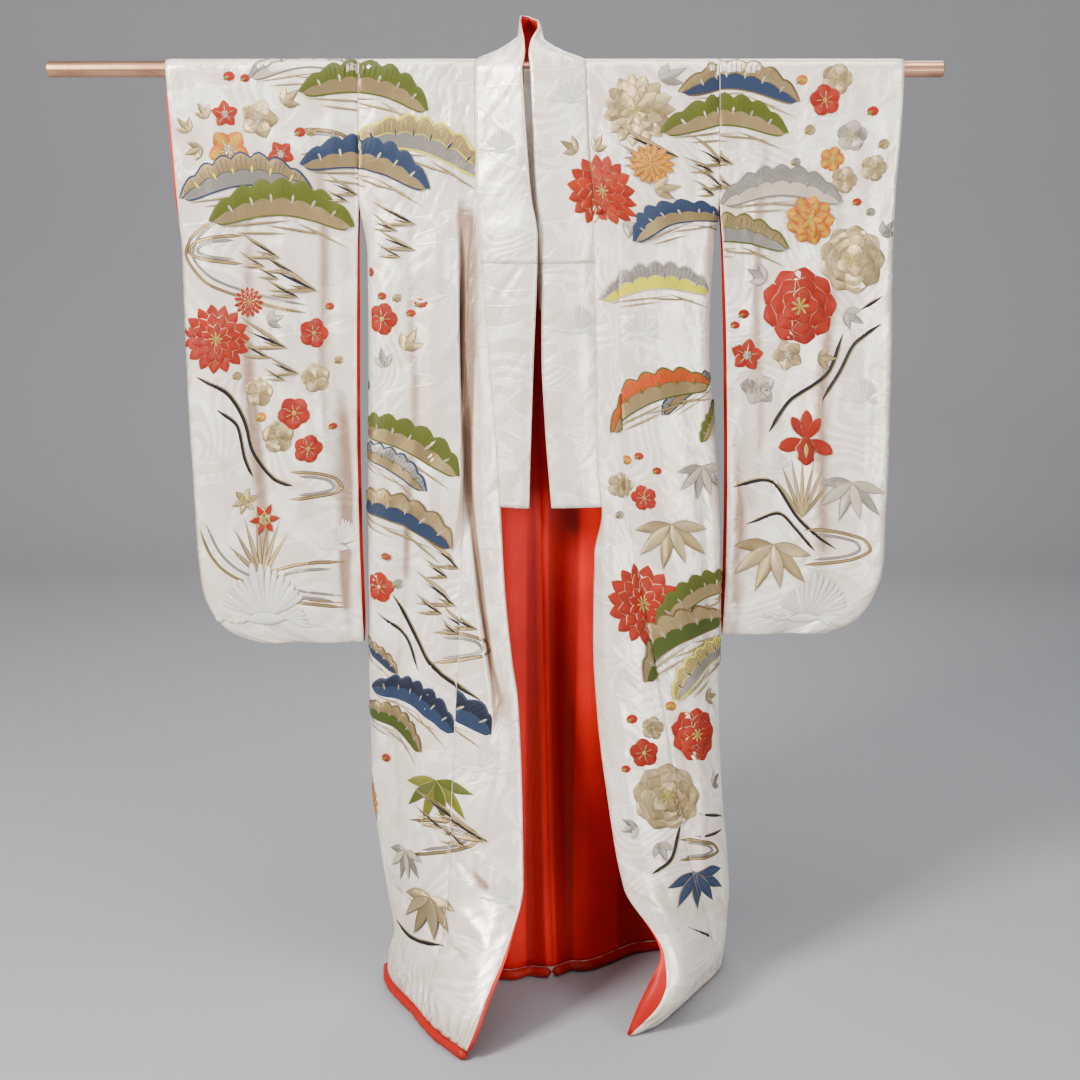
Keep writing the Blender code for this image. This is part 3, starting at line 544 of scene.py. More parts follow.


# How deep each point lies in a fold, in centimetres below the cloth around it; the materials darken the
# colour by it as painted shade
def foldDepth(grid, normal):
    total = np.zeros(grid.shape)
    for k in foldReach["columns"]:
        for j in foldReach["rows"]:
            rows = np.clip(np.arange(grid.shape[0]) + j, 0, grid.shape[0] - 1)
            columns = np.clip(np.arange(grid.shape[1]) + k, 0, grid.shape[1] - 1)
            total += grid[np.ix_(rows, columns)]
    around = total / (len(foldReach["columns"]) * len(foldReach["rows"]))
    return ((around - grid) * normal).sum(axis=2) * 100


# Reach of the fold depth, and the share of the painted fold shade kept on the satin's back
foldReach = {"columns": (-6, -4, -2, 0, 2, 4, 6), "rows": (-4, 0, 4), "backShare": 0.25}


# Thin closed cloth between two offsets of a guide grid; near and far may be arrays
def shell(name, grid, normal, near, far, material, shift=(0.0, 0.0)):
    rows, columns = grid.shape[:2]
    near = np.broadcast_to(near, (rows, columns))[..., None]
    far = np.broadcast_to(far, (rows, columns))[..., None]
    verts = np.concatenate([(grid + normal * near).reshape(-1, 3), (grid + normal * far).reshape(-1, 3)])
    index = np.arange(rows * columns).reshape(rows, columns)
    quads = np.stack([index[:-1, :-1], index[:-1, 1:], index[1:, 1:], index[1:, :-1]], axis=2).reshape(-1,
            4)
    rim = np.concatenate([index[0], index[1:, -1], index[-1, -2::-1], index[-2:0:-1, 0]])
    after = np.roll(rim, -1)
    top = rows * columns
    faces = np.concatenate([quads[:, ::-1], quads + top, np.stack([rim, after, after + top, rim + top],
            axis=1)])
    piece = makeMesh(name, verts, faces, material)
    u, v = lengths(grid)
    flat = np.stack(np.meshgrid(u + shift[0], v + shift[1]), axis=2).reshape(-1, 2)
    clothMap(piece, np.vstack([flat, flat]))
    # The attribute holds painted shade: deeper in a fold is darker, weaker on the satin's back, with the
    # painted bands along the long folds added; linings take the depth reversed
    depth = foldDepth(grid, normal)
    if material is satin:
        depth = np.where(normal[..., 1] > 0, depth * foldReach["backShare"], depth) + paintedFoldShade(grid,
                normal)
    else:
        depth = -depth
    piece.data.attributes.new("foldShade", "FLOAT", "POINT").data.foreach_set("value", np.tile(depth.ravel(), 2))
    return piece


# How far cloth sinks towards its seams, for each point of a grid
def edgeDip(grid, depth=0.0009, reach=0.0035, rowsToo=False):
    u, v = lengths(grid)
    gap = np.minimum(u, u[-1] - u)[None, :] + np.zeros((len(v), 1))
    if rowsToo:
        gap = np.minimum(gap, np.minimum(v, v[-1] - v)[:, None])
    return depth * np.exp(-(gap / reach) ** 2)


# Materials
def newMaterial(name):
    material = bpy.data.materials.new(name)
    material.use_nodes = True
    return material, material.node_tree, material.node_tree.nodes["Principled BSDF"]


def addNode(tree, kind, settings=(), **inputs):
    node = tree.nodes.new(kind)
    for key, value in dict(settings).items():
        setattr(node, key, value)
    for key, value in inputs.items():
        socket = node.inputs[int(key[1:])] if key[0] == "i" and key[1:].isdigit() else node.inputs[key]
        if hasattr(value, "is_output"):
            tree.links.new(value, socket)
        else:
            socket.default_value = value
    return node


def mathNode(tree, operation, a, b=0.0, clamp=False):
    return addNode(tree, "ShaderNodeMath", {"operation": operation, "use_clamp": clamp}, i0=a,
            i1=b).outputs[0]


def ramp(tree, value, low, high):
    node = addNode(tree, "ShaderNodeMapRange", {"interpolation_type": "SMOOTHSTEP"}, i0=value, i1=low,
            i2=high)
    return node.outputs[0]


def mixColour(tree, factor, a, b, blend="MIX"):
    node = addNode(tree, "ShaderNodeMix", {"data_type": "RGBA", "blend_type": blend}, i0=factor, i6=a, i7=b)
    return node.outputs[2]


# The cloth's map, turned and then scaled
def scaledMap(tree, scale, turn=0.0):
    place = addNode(tree, "ShaderNodeUVMap", {"uv_map": "cloth"}).outputs[0]
    if turn:
        place = addNode(tree, "ShaderNodeMapping", Vector=place, Rotation=(0, 0, turn)).outputs[0]
    return addNode(tree, "ShaderNodeMapping", Vector=place, Scale=scale).outputs[0]


# Painted shade: deep is the colour the satin darkens towards in its folds, by foldFrom, foldTo and
# foldShare; shade is the beige of the random mottle and the weave, and is also painted into the crinkle
# valleys by crinkleShade
satinLook = {"cream": (0.84, 0.755, 0.65, 1), "figure": (0.92, 0.875, 0.80, 1),
             "shade": (0.56, 0.42, 0.30, 1),
             "deep": (0.25, 0.14, 0.085, 1), "foldFrom": 0.05, "foldTo": 0.42, "foldShare": 0.90,
             "waveScale": 4.5, "waveTurns": 95.0, "cloudScale": 6.0, "gloss": 0.27, "matte": 0.42,
             "metal": 0.25,
             "crinkle": 0.0085, "crinkleShade": 0.30, "pucker": 0.0028, "puckerPitch": 0.019,
             "puckerReach": 0.10}


# Satin ground with a woven figure of flowing waves inside cloud shapes
def figuredSatin():
    look = satinLook
    material, tree, shader = newMaterial("figuredSatin")
    cloth = scaledMap(tree, (1, 1, 1))
    waves = addNode(tree, "ShaderNodeTexNoise", Vector=cloth, Scale=look["waveScale"], Detail=0.0,
            Distortion=0.8)
    waves = mathNode(tree, "SINE", mathNode(tree, "MULTIPLY", waves.outputs["Fac"], look["waveTurns"]))
    waves = ramp(tree, waves, -0.2, 0.5)
    clouds = addNode(tree, "ShaderNodeTexNoise", Vector=scaledMap(tree, (1.0, 1.9, 1)),
                     Scale=look["cloudScale"],
                     Detail=1.5, Distortion=0.6).outputs["Fac"]
    inside = ramp(tree, clouds, 0.50, 0.535)
    edge = mathNode(tree, "SUBTRACT", ramp(tree, clouds, 0.47, 0.495), ramp(tree, clouds, 0.50, 0.52), True)
    figure = mathNode(tree, "ADD", mathNode(tree, "MULTIPLY", inside, waves), edge, True)
    mottle = addNode(tree, "ShaderNodeTexNoise", Vector=cloth, Scale=5.0, Detail=3.0).outputs["Fac"]
    # soft wrinkles on the slant, with painted beige shade in their valleys, and puckers above the hem
    crinkle = addNode(tree, "ShaderNodeTexNoise", Vector=scaledMap(tree, (18, 6, 1), 0.65), Scale=1.0,
                      Detail=2.0,
                      Distortion=0.4).outputs["Fac"]
    height = addNode(tree, "ShaderNodeSeparateXYZ", Vector=cloth).outputs[1]
    nearHem = mathNode(tree, "SUBTRACT", 1.0, ramp(tree, height, 0.004, look["puckerReach"]))
    drift = addNode(tree, "ShaderNodeTexNoise", Vector=scaledMap(tree, (9, 16, 1)), Scale=1.0,
            Detail=1.0).outputs["Fac"]
    run = addNode(tree, "ShaderNodeSeparateXYZ", Vector=cloth).outputs[0]
    run = mathNode(tree, "ADD", mathNode(tree, "MULTIPLY", run, 2 * math.pi / look["puckerPitch"]),
                   mathNode(tree, "MULTIPLY", drift, 16.0))
    pucker = mathNode(tree, "MULTIPLY", mathNode(tree, "SINE", run), nearHem)
    colour = mixColour(tree, figure, look["cream"], look["figure"])
    colour = mixColour(tree, mathNode(tree, "MULTIPLY", ramp(tree, mottle, 0.45, 0.80), 0.16), colour,
            look["shade"])
    # painted shade in the crinkle valleys
    valley = mathNode(tree, "SUBTRACT", 1.0, ramp(tree, crinkle, 0.34, 0.60))
    colour = mixColour(tree, mathNode(tree, "MULTIPLY", valley, look["crinkleShade"]), colour,
            look["shade"])
    threads = addNode(tree, "ShaderNodeTexWave", {"bands_direction": "X"}, Vector=cloth, Scale=180.0,
                      Distortion=1.2, Detail=1.0).outputs["Fac"]
    picks = addNode(tree, "ShaderNodeTexWave", {"bands_direction": "Y"}, Vector=cloth, Scale=95.0,
                    Distortion=1.5, Detail=1.0).outputs["Fac"]
    weave = mathNode(tree, "ADD", mathNode(tree, "MULTIPLY", threads, 0.6),
            mathNode(tree, "MULTIPLY", picks, 0.4))
    colour = mixColour(tree, mathNode(tree, "MULTIPLY", weave, 0.05), colour, look["shade"])
    # painted shade: the colour darkens towards deep where the cloth lies in a fold
    foldShade = addNode(tree, "ShaderNodeAttribute", {"attribute_name": "foldShade"}).outputs["Fac"]
    dark = mathNode(tree, "MULTIPLY", ramp(tree, foldShade, look["foldFrom"], look["foldTo"]), look["foldShare"])
    colour = mixColour(tree, dark, colour, look["deep"])
    tree.links.new(colour, shader.inputs["Base Color"])
    rough = mathNode(tree, "ADD", mathNode(tree, "MULTIPLY", figure, look["matte"] - look["gloss"]),
            look["gloss"])
    rough = mathNode(tree, "ADD", rough, mathNode(tree, "MULTIPLY", mottle, 0.10))
    tree.links.new(rough, shader.inputs["Roughness"])
    height = mathNode(tree, "ADD", mathNode(tree, "MULTIPLY", figure, 0.8),
            mathNode(tree, "MULTIPLY", weave, 0.25))
    crumple = addNode(tree, "ShaderNodeTexNoise", Vector=scaledMap(tree, (1.0, 0.45, 1)), Scale=34.0,
            Detail=3.0)
    height = mathNode(tree, "ADD", height, mathNode(tree, "MULTIPLY", crumple.outputs["Fac"], 9.0))
    bump = addNode(tree, "ShaderNodeBump", Height=crinkle, Strength=1.0, Distance=look["crinkle"])
    bump = addNode(tree, "ShaderNodeBump", Height=pucker, Strength=1.0, Distance=look["pucker"],
            Normal=bump.outputs[0])
    bump = addNode(tree, "ShaderNodeBump", Height=height, Strength=0.65, Distance=0.0005,
            Normal=bump.outputs[0])
    tree.links.new(bump.outputs[0], shader.inputs["Normal"])
    shader.inputs["Metallic"].default_value = look["metal"]
    shader.inputs["Sheen Weight"].default_value = 0.06
    shader.inputs["Sheen Roughness"].default_value = 0.4
    shader.inputs["Specular IOR Level"].default_value = 0.70
    return material


liningLook = {"bright": (0.80, 0.010, 0.002, 1), "deep": (0.24, 0.001, 0.001, 1), "rough": 0.42}


def scarletSilk(name, bright, deep, crumpleScale):
    material, tree, shader = newMaterial(name)
    cloth = scaledMap(tree, (1, 1, 1))
    tone = addNode(tree, "ShaderNodeTexNoise", Vector=cloth, Scale=4.0, Detail=4.0).outputs["Fac"]
    streak = addNode(tree, "ShaderNodeTexNoise", Vector=scaledMap(tree, (60, 2.5, 1)), Scale=1.0,
            Detail=2.0)
    amount = mathNode(tree, "ADD", ramp(tree, tone, 0.40, 0.75),
            mathNode(tree, "MULTIPLY", streak.outputs["Fac"], 0.35))
    colour = mixColour(tree, mathNode(tree, "MULTIPLY", amount, 0.45), bright, deep)
    threads = addNode(tree, "ShaderNodeTexWave", {"bands_direction": "X"}, Vector=cloth, Scale=160.0,
            Distortion=1.0)
    colour = mixColour(tree, mathNode(tree, "MULTIPLY", threads.outputs["Fac"], 0.10), colour, deep)
    # painted shade: the lining's colour darkens towards deep where it lies in a fold
    foldShade = addNode(tree, "ShaderNodeAttribute", {"attribute_name": "foldShade"}).outputs["Fac"]
    colour = mixColour(tree, mathNode(tree, "MULTIPLY", ramp(tree, foldShade, 0.02, 0.45), 0.75), colour, deep)
    tree.links.new(colour, shader.inputs["Base Color"])
    rough = mathNode(tree, "ADD", mathNode(tree, "MULTIPLY", tone, 0.16), liningLook["rough"])
    tree.links.new(rough, shader.inputs["Roughness"])
    crumple = addNode(tree, "ShaderNodeTexNoise", Vector=cloth, Scale=crumpleScale,
            Detail=3.0).outputs["Fac"]
    height = mathNode(tree, "ADD", mathNode(tree, "MULTIPLY", crumple, 4.0), threads.outputs["Fac"])
    bump = addNode(tree, "ShaderNodeBump", Height=height, Strength=0.6, Distance=0.0004)
    tree.links.new(bump.outputs[0], shader.inputs["Normal"])
    shader.inputs["Specular IOR Level"].default_value = 0.28
    return material


def copperTube():
    material, tree, shader = newMaterial("copperTube")
    place = addNode(tree, "ShaderNodeTexCoord").outputs["Object"]
    drawn = addNode(tree, "ShaderNodeMapping", Vector=place, Scale=(4, 420, 420)).outputs[0]
    lines = addNode(tree, "ShaderNodeTexNoise", Vector=drawn, Scale=1.0, Detail=3.0).outputs["Fac"]
    stain = addNode(tree, "ShaderNodeTexNoise", Vector=place, Scale=14.0, Detail=4.0).outputs["Fac"]
    colour = mixColour(tree, ramp(tree, stain, 0.42, 0.72), (0.70, 0.37, 0.22, 1), (0.40, 0.19, 0.11, 1))
    colour = mixColour(tree, mathNode(tree, "MULTIPLY", lines, 0.25), colour, (0.86, 0.55, 0.38, 1))
    tree.links.new(colour, shader.inputs["Base Color"])
    rough = mathNode(tree, "ADD", mathNode(tree, "MULTIPLY", lines, 0.18),
            mathNode(tree, "MULTIPLY", stain, 0.28))
    tree.links.new(mathNode(tree, "ADD", rough, 0.10), shader.inputs["Roughness"])
    bump = addNode(tree, "ShaderNodeBump", Height=lines, Strength=0.15, Distance=0.0002)
    tree.links.new(bump.outputs[0], shader.inputs["Normal"])
    shader.inputs["Metallic"].default_value = 1.0
    return material


print("materials")
satin = figuredSatin()
lining = scarletSilk("scarletLining", liningLook["bright"], liningLook["deep"], 30.0)
rollSilk = scarletSilk("scarletRoll", (0.36, 0.006, 0.0005, 1), (0.20, 0.002, 0.0005, 1), 70.0)
copper = copperTube()
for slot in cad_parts["rod"].material_slots:
    slot.material = copper

# Outer cloth
print("outer cloth")
half = garment["halfGap"]
outers = {}
nodeNames = {"bodyLeft": "body_left", "bodyRight": "body_right", "okumiLeft": "okumi_left",
             "okumiRight": "okumi_right", "sleeveLeft": "sleeve_left", "sleeveRight": "sleeve_right",
             "collar": "collar"}
surfaces = {}
for number, (name, grid) in enumerate(grids.items()):
    if name.startswith("okumi"):
        grid, normal = grid[:, :-2], normals[name][:, :-2]
    else:
        normal = normals[name]
    outside = half + garment["satin"] - edgeDip(grid)
    surfaces[name] = (grid + normal * outside[..., None], normal)
    outers[name] = shell(name + "Satin", grid, normal, half, outside, satin,
                         (number * 0.83, 0.0 if name.startswith(("body", "okumi")) else 1.0))

# Linings, on every second row and column of the same grids
print("linings")
linings = {}


def everySecond(count):
    return np.unique(np.append(np.arange(0, count, 2), count - 1))


# A gore's lining wraps its front edge near the hem and stays behind it above
def tuckedIn(grid):
    show = 1 - 0.94 * ease(0.12, 0.26, lengths(grid)[1])
    out = grid.copy()
    out[:, -2:] = grid[:, -3:-2] + (grid[:, -2:] - grid[:, -3:-2]) * show[:, None, None]
    return out


for name in ("bodyLeft", "bodyRight", "okumiLeft", "okumiRight", "sleeveLeft", "sleeveRight"):
    rows, columns = grids[name].shape[:2]
    grid = grids[name]
    if "okumi" in name:
        grid = tuckedIn(grid)
        coarse = np.ix_(everySecond(rows), np.arange(columns))
        nearSide, farSide = -half - garment["lining"] * 0.6, -half
    else:
        coarse = np.ix_(everySecond(rows), everySecond(columns))
        nearSide, farSide = -half - garment["lining"], -half - 0.0004
    linings[name] = shell(name + "Lining", grid[coarse], normals[name][coarse], nearSide, farSide, lining)
neckFirst = len(leftHalf) - len(rodAngles) - 5
neckRows = slice(neckFirst, len(grids["collar"]) - neckFirst)
collarLining = shell("collarLining", grids["collar"][neckRows], normals["collar"][neckRows],
                     -half - garment["lining"], -half, lining)

# Collar cover, one cloth's thickness above the collar
coverRow = int(round((garment["collarEnd"] - garment["coverEnd"]) / fineness["rowStep"]))
coverRows = slice(coverRow, len(grids["collar"]) - coverRow)
coverGrid, coverNormal = grids["collar"][coverRows], normals["collar"][coverRows]
coverBase = 3 * half + garment["satin"]
coverTop = coverBase + garment["cover"] - edgeDip(coverGrid, 0.0007, 0.003, True)
cover = shell("collarCover", coverGrid, coverNormal, coverBase, coverTop, satin, (0.9, 1.2))
surfaces["cover"] = (coverGrid + coverNormal * coverTop[..., None], coverNormal)

# Inner layer of the right collar
turnRows = []
for drop in dropsTo(0.42)[::-1]:
    edge = tableAt(rightCollar, [drop])[0, 2:]
    far = tableAt(collarTurn, [drop])[0]
    start = np.array((edge[0] - 0.5, edge[1] + 5.0, -drop / mm)) * mm
    end = np.array((far[0], far[1], -drop / mm)) * mm
    turnRows.append([start + (end - start) * t for t in np.linspace(0, 1, 7)])
turnGrid = np.array(turnRows)
turned = shell("collarTurn", turnGrid, unit(faceSums(turnGrid, 1)), 0.0, garment["satin"], satin,
        (0.4, 0.7))


# Padded rolls under the hems
rollForm = {"sides": 18, "step": 0.0045, "pucker": 0.10, "flat": 0.10}


def evenPath(points, start, end):
    length = np.concatenate([[0], np.cumsum(np.linalg.norm(np.diff(points, axis=0), axis=1))])
    count = int((length[-1] - start - end) / rollForm["step"])
    places = np.linspace(start, length[-1] - end, count)
    return np.stack([smoothCurve(length, points[:, k], places)[:, 0] for k in range(2)], axis=1), places


def hemRoll(name, points, start, end, material):
    path, places = evenPath(points[:, :2], start, end)
    ahead = unit(np.gradient(path, axis=0))
    turn = np.linspace(0, 2 * np.pi, rollForm["sides"], endpoint=False)
    ripple = chance.uniform(0.5, 1.0, len(places)) * np.sin(places / 0.0052 + chance.uniform(0, 2.4,
            len(places)))
    radius = garment["rollRadius"] * (0.96 + rollForm["pucker"] * ripple * 0.55)[:, None]
    radius = radius * (1 + 0.05 * np.sin(turn * 3 + places[:, None] * 90))
    ends = np.minimum(np.minimum(places - places[0], places[-1] - places) / 0.008, 1)
    radius = radius * np.sqrt(np.maximum(ends, 0.02))[:, None]
    side = np.cos(turn) * radius
    up = np.sin(turn) * radius
    middle = garment["rollRadius"] - garment["floorDrop"]
    rings = np.stack([path[:, None, 0] + side * ahead[:, None, 1], path[:, None, 1] - side * ahead[:,
                      None, 0],
                      np.maximum(middle + up, 0.0006 - garment["floorDrop"])], axis=2)
    rows, columns = rings.shape[:2]
    index = np.arange(rows * columns).reshape(rows, columns)
    beside = np.roll(index, -1, axis=1)
    faces = np.stack([index[:-1], beside[:-1], beside[1:], index[1:]], axis=2).reshape(-1, 4).tolist()
    faces += [index[0].tolist(), index[-1].tolist()]
    piece = makeMesh(name, rings.reshape(-1, 3), faces, material)
    flat = np.stack([np.broadcast_to(turn * garment["rollRadius"], (rows, columns)),
                     np.broadcast_to(places[:, None], (rows, columns))], axis=2).reshape(-1, 2)
    clothMap(piece, flat)
    return piece


print("hem rolls")
leftHem = np.concatenate([grids["bodyLeft"][0], grids["okumiLeft"][0][1:-2]])
rolls = {"hem_roll_front_left": hemRoll("hemRollFrontLeft", leftHem, 0.004, 0.002, rollSilk)}
tuck = garment["rollRadius"] + garment["lining"] + 0.0022
rightHem = np.concatenate([grids["bodyRight"][0] - normals["bodyRight"][0] * tuck,
                           (grids["okumiRight"][0] - normals["okumiRight"][0] * tuck)[1:-2]])
rolls["hem_roll_front_right"] = hemRoll("hemRollFrontRight", rightHem, 0.026, 0.012, rollSilk)
rolls["hem_roll_back_left"] = hemRoll("hemRollBackLeft", grids["bodyLeft"][-1], 0.026, 0.0006, rollSilk)
rolls["hem_roll_back_right"] = hemRoll("hemRollBackRight", grids["bodyRight"][-1], 0.026, 0.0006, rollSilk)

# Embroidery: each thread's colour, and 1 where it is metal
print("embroidery")
threads = {
    "red": (0.29, 0.008, 0.0002, 0), "coral": (0.38, 0.022, 0.0006, 0), "orange": (0.52, 0.056, 0.001, 0),
    "gold": (0.43, 0.31, 0.145, 1), "paleGold": (0.60, 0.47, 0.26, 1), "bronze": (0.20, 0.135, 0.06, 1),
    "silver": (0.37, 0.34, 0.30, 1), "grey": (0.18, 0.155, 0.13, 0), "olive": (0.078, 0.095, 0.006, 0),
    "green": (0.052, 0.080, 0.006, 0), "leaf": (0.17, 0.18, 0.008, 0), "blue": (0.018, 0.034, 0.080, 0),
    "sky": (0.040, 0.070, 0.15, 0), "navy": (0.006, 0.009, 0.024, 0), "black": (0.005, 0.004, 0.005, 0),
    "lemon": (0.66, 0.62, 0.015, 0), "white": (0.84, 0.82, 0.77, 0), "cream": (0.74, 0.66, 0.55, 0),
    "beige": (0.52, 0.44, 0.33, 0),
}
# each palette: rim, fill, middle line, fill of every other petal
palettes = {
    "red": ("paleGold", "red", "coral", "red"), "orange": ("gold", "orange", "lemon", "coral"),
    "gold": ("bronze", "gold", "paleGold", "paleGold"), "silver": ("grey", "silver", "beige", "beige"),
    "olive": ("gold", "leaf", "olive", "olive"), "blue": ("gold", "blue", "sky", "blue"),
    "lemonGold": ("lemon", "gold", "paleGold", "bronze"), "redGold": ("gold", "red", "coral", "coral"),
    "blackGold": ("black", "gold", "bronze", "gold"), "white": ("beige", "white", "white", "cream"),
    "woven": ("cream", "white", "white", "cream"), "ink": ("black", "black", "navy", "black"),
}
# pine clouds: rim, scalloped band, inner fill, slots
pinePalettes = {
    "green": ("olive", "olive", "gold", "silver"), "blue": ("blue", "blue", "gold", "paleGold"),
    "navy": ("blue", "navy", "blue", "silver"), "blueGold": ("blue", "gold", "silver", "lemon"),
    "lemonGold": ("lemon", "gold", "silver", "navy"), "greenGold": ("olive", "orange", "gold", "olive"),
    "silver": ("grey", "silver", "beige", "grey"), "silverBlue": ("blue", "silver", "gold", "olive"),
    "gold": ("bronze", "gold", "green", "silver"), "goldBlue": ("bronze", "gold", "blue", "silver"),
    "silverLemon": ("beige", "silver", "lemon", "grey"), "oliveGold": ("olive", "gold", "silver", "bronze"),
}
for name in ("silver", "paleGold", "lemon", "navy", "olive", "grey", "bronze", "blue", "beige"):
    palettes[name + "Slot"] = (name if name in ("blue", "lemon", "olive") else "beige", name, name, name)
stitch = {"layer": 0.0003, "lift": 0.0005, "crown": 0.00008, "rim": 0.0011, "rimShare": 0.34,
          "station": 0.009,
          "stations": (5, 13), "pixel": 0.00177, "mostLayers": 12, "wobble": 2.0, "wovenRelief": 0.4}
photoShoulder, photoScale = 62.0, 566.0     # the shoulder line's row, and pixels to a metre on the back

# Half width of a petal or leaf of length and width 1, from its foot to its tip
outlines = {
    "round": lambda t: 0.5 * np.sin(np.pi * t ** 1.35) ** 0.6,
    "narrow": lambda t: 0.5 * (0.35 + 0.65 * t) * np.sqrt(np.maximum(1 - np.abs(2 * t - 1) ** 5, 0)),
    "point": lambda t: 0.5 * np.sin(np.pi * t ** 0.85) ** 1.1,
    "star": lambda t: 0.5 * np.sin(np.pi * np.minimum(t * 0.95 + 0.05, 1)) ** 0.8,
    "spear": lambda t: 0.5 * np.sin(np.pi * t ** 1.5) ** 0.9,
    "ruffle": lambda t: np.sqrt(np.maximum(t * (1 - t), 0)) * (1 + 0.16 * np.cos(t * 17)),
    "dot": lambda t: np.sqrt(np.maximum(t * (1 - t), 0)),
}


# Face of a panel that motifs are sewn on; right and up are the ways its columns and rows run for who faces
# it
def newCanvas(surface, rows, looked, right, up, behind=False):
    points, normal = surfaces[surface][0][rows], surfaces[surface][1][rows]
    if behind:
        pixels = np.stack([photoCamera["size"] / 2 - photoScale * points[..., 0],
                           photoShoulder - photoScale * points[..., 2]], axis=-1)
        facing = normal[..., 1] > 0
    else:
        pixels = photoPixels(points)
        eye = np.array((photoCamera["x"], photoCamera["y"], photoCamera["z"]))
        facing = ((eye - points) * normal).sum(axis=2) > 0.2
    hidden = ~facing
    if looked:
        hidden[looked:] = True
    rise = np.concatenate([[0], np.cumsum(np.linalg.norm(np.diff(points, axis=0), axis=2).mean(axis=1))])
    width = np.maximum(np.linalg.norm(np.diff(points, axis=1), axis=2).mean(axis=1), 0.0004)
    return {"points": points, "normal": normal, "pixels": pixels, "hidden": hidden, "rise": rise,
            "width": width,
            "right": right, "up": up, "base": 0, "relief": 1.0, "parts": [],
            "sleeve": surface.startswith("sleeve")}


# Row and column, with fractions, of a pixel on a canvas or beyond its edge, and the pixels from it to the
# cloth
def placeOn(canvas, spot):
    pixels = canvas["pixels"]
    gap = np.linalg.norm(pixels - np.array(spot, float), axis=2) + np.where(canvas["hidden"], 1e5, 0)
    j, i = np.unravel_index(np.argmin(gap), gap.shape)
    j0, i0 = min(max(j, 1), gap.shape[0] - 2), min(max(i, 1), gap.shape[1] - 2)
    slope = np.stack([(pixels[j0 + 1, i0] - pixels[j0 - 1, i0]) / 2,
            (pixels[j0, i0 + 1] - pixels[j0, i0 - 1]) / 2], 1)
    step = np.zeros(2)
    if abs(np.linalg.det(slope)) > 0.5:
        step = np.clip(np.linalg.solve(slope, np.array(spot, float) - pixels[j, i]), -45, 45)
    return np.array((j, i), float) + step, gap[j, i]


def threadColour(name, tone=1.0):
    return np.append(np.clip(np.array(threads[name][:3]) * tone, 0, 1), 1.0)


# Strips of thread side by side: local points are (stations, lines, 2), and lines run from right to left
def strips(canvas, centre, local, heights, names, tone=1.0, blend=None):
    count, lines = local.shape[:2]
    index = np.arange(count * lines).reshape(count, lines)
    faces = np.stack([index[:-1, :-1], index[1:, :-1], index[1:, 1:], index[:-1, 1:]], axis=2)
    corners = np.zeros((count - 1, lines - 1, 4, 4))
    metal = np.zeros((count - 1, lines - 1))
    for k, name in enumerate(names):
        corners[:, k] = threadColour(name, tone)
        metal[:, k] = threads[name][3]
    if blend:
        middle = lines // 2
        soft = threadColour(blend, tone) * 0.5 + threadColour(names[middle], tone) * 0.5
        corners[:, middle - 1, 2:] = corners[:, middle, :2] = soft
    if len(centre) == 2 and np.ndim(centre) == 1:
        centre = np.tile(centre, (count * lines, 1))
    run = np.concatenate([[0], np.cumsum(np.linalg.norm(np.diff(local[:, lines // 2], axis=0), axis=1))])
    side = np.linalg.norm(local - local[:, :1], axis=2)
    flat = np.stack([np.broadcast_to(run[:, None], (count, lines)), side], axis=2)
    canvas["parts"].append((centre, local.reshape(-1, 2),
                            np.broadcast_to(heights, (count, lines)).reshape(-1),
                            faces.reshape(-1, 4), corners.reshape(-1, 4, 4), metal.reshape(-1),
                            flat.reshape(-1, 2)))


# One raised petal, leaf or stroke; place, length and width are in metres, right and up from the centre
def patch(canvas, centre, place, angle, length, width, kind, palette, layer=1, second=False):
    rim, fill, heart, other = palettes[palette]
    fill = other if second else fill
    count = int(np.clip(3 + length / stitch["station"], *stitch["stations"]))
    t = (1 - np.cos(np.pi * np.linspace(0.04, 0.96, count))) / 2
    half = np.maximum(outlines[kind](t) * width, 0.0001)
    inner = half - np.minimum(stitch["rim"], half * stitch["rimShare"])
    sides = np.stack([-half, -inner, np.zeros(count), inner, half], axis=1)
    turn = math.radians(angle)
    ahead, left = np.array((math.cos(turn), math.sin(turn))), np.array((-math.sin(turn), math.cos(turn)))
    local = np.array(place, float) + (t * length)[:, None, None] * ahead + sides[..., None] * left
    base = (canvas["base"] + layer) * stitch["layer"] * canvas["relief"]
    top = base + stitch["lift"] * canvas["relief"]
    strips(canvas, centre, local, (base, top, top + stitch["crown"], top, base), (rim, fill, fill, rim),
           chance.uniform(0.86, 1.12), heart)


def petals(canvas, centre, count, inner, outer, width, kind, palette, turn=0.0, layer=1, span=360.0,
        place=(0, 0)):
    for k in range(count):
        angle = turn + span * k / count + chance.uniform(-stitch["wobble"], stitch["wobble"])
        way = np.array((math.cos(math.radians(angle)), math.sin(math.radians(angle))))
        patch(canvas, centre, np.array(place) + way * inner, angle, outer - inner, width, kind, palette,
              layer,
              k % 2 == 1)


def dot(canvas, centre, place, r, palette, layer):
    patch(canvas, centre, np.array(place, float) - (r, 0), 0, 2 * r, 2 * r, "dot", palette, layer)


def chrysanthemum(canvas, centre, r, turn, palette):
    petals(canvas, centre, 15, r * 0.18, r * 1.08, r * 0.42, "spear", palette, turn, 1)
    petals(canvas, centre, 12, r * 0.08, r * 0.80, r * 0.38, "spear", palette, turn + 9, 3)
    petals(canvas, centre, 9, 0.0, r * 0.50, r * 0.26, "spear", palette, turn, 5)
    petals(canvas, centre, 8, 0.0, r * 0.22, r * 0.05, "narrow", "lemonGold", turn, 7)


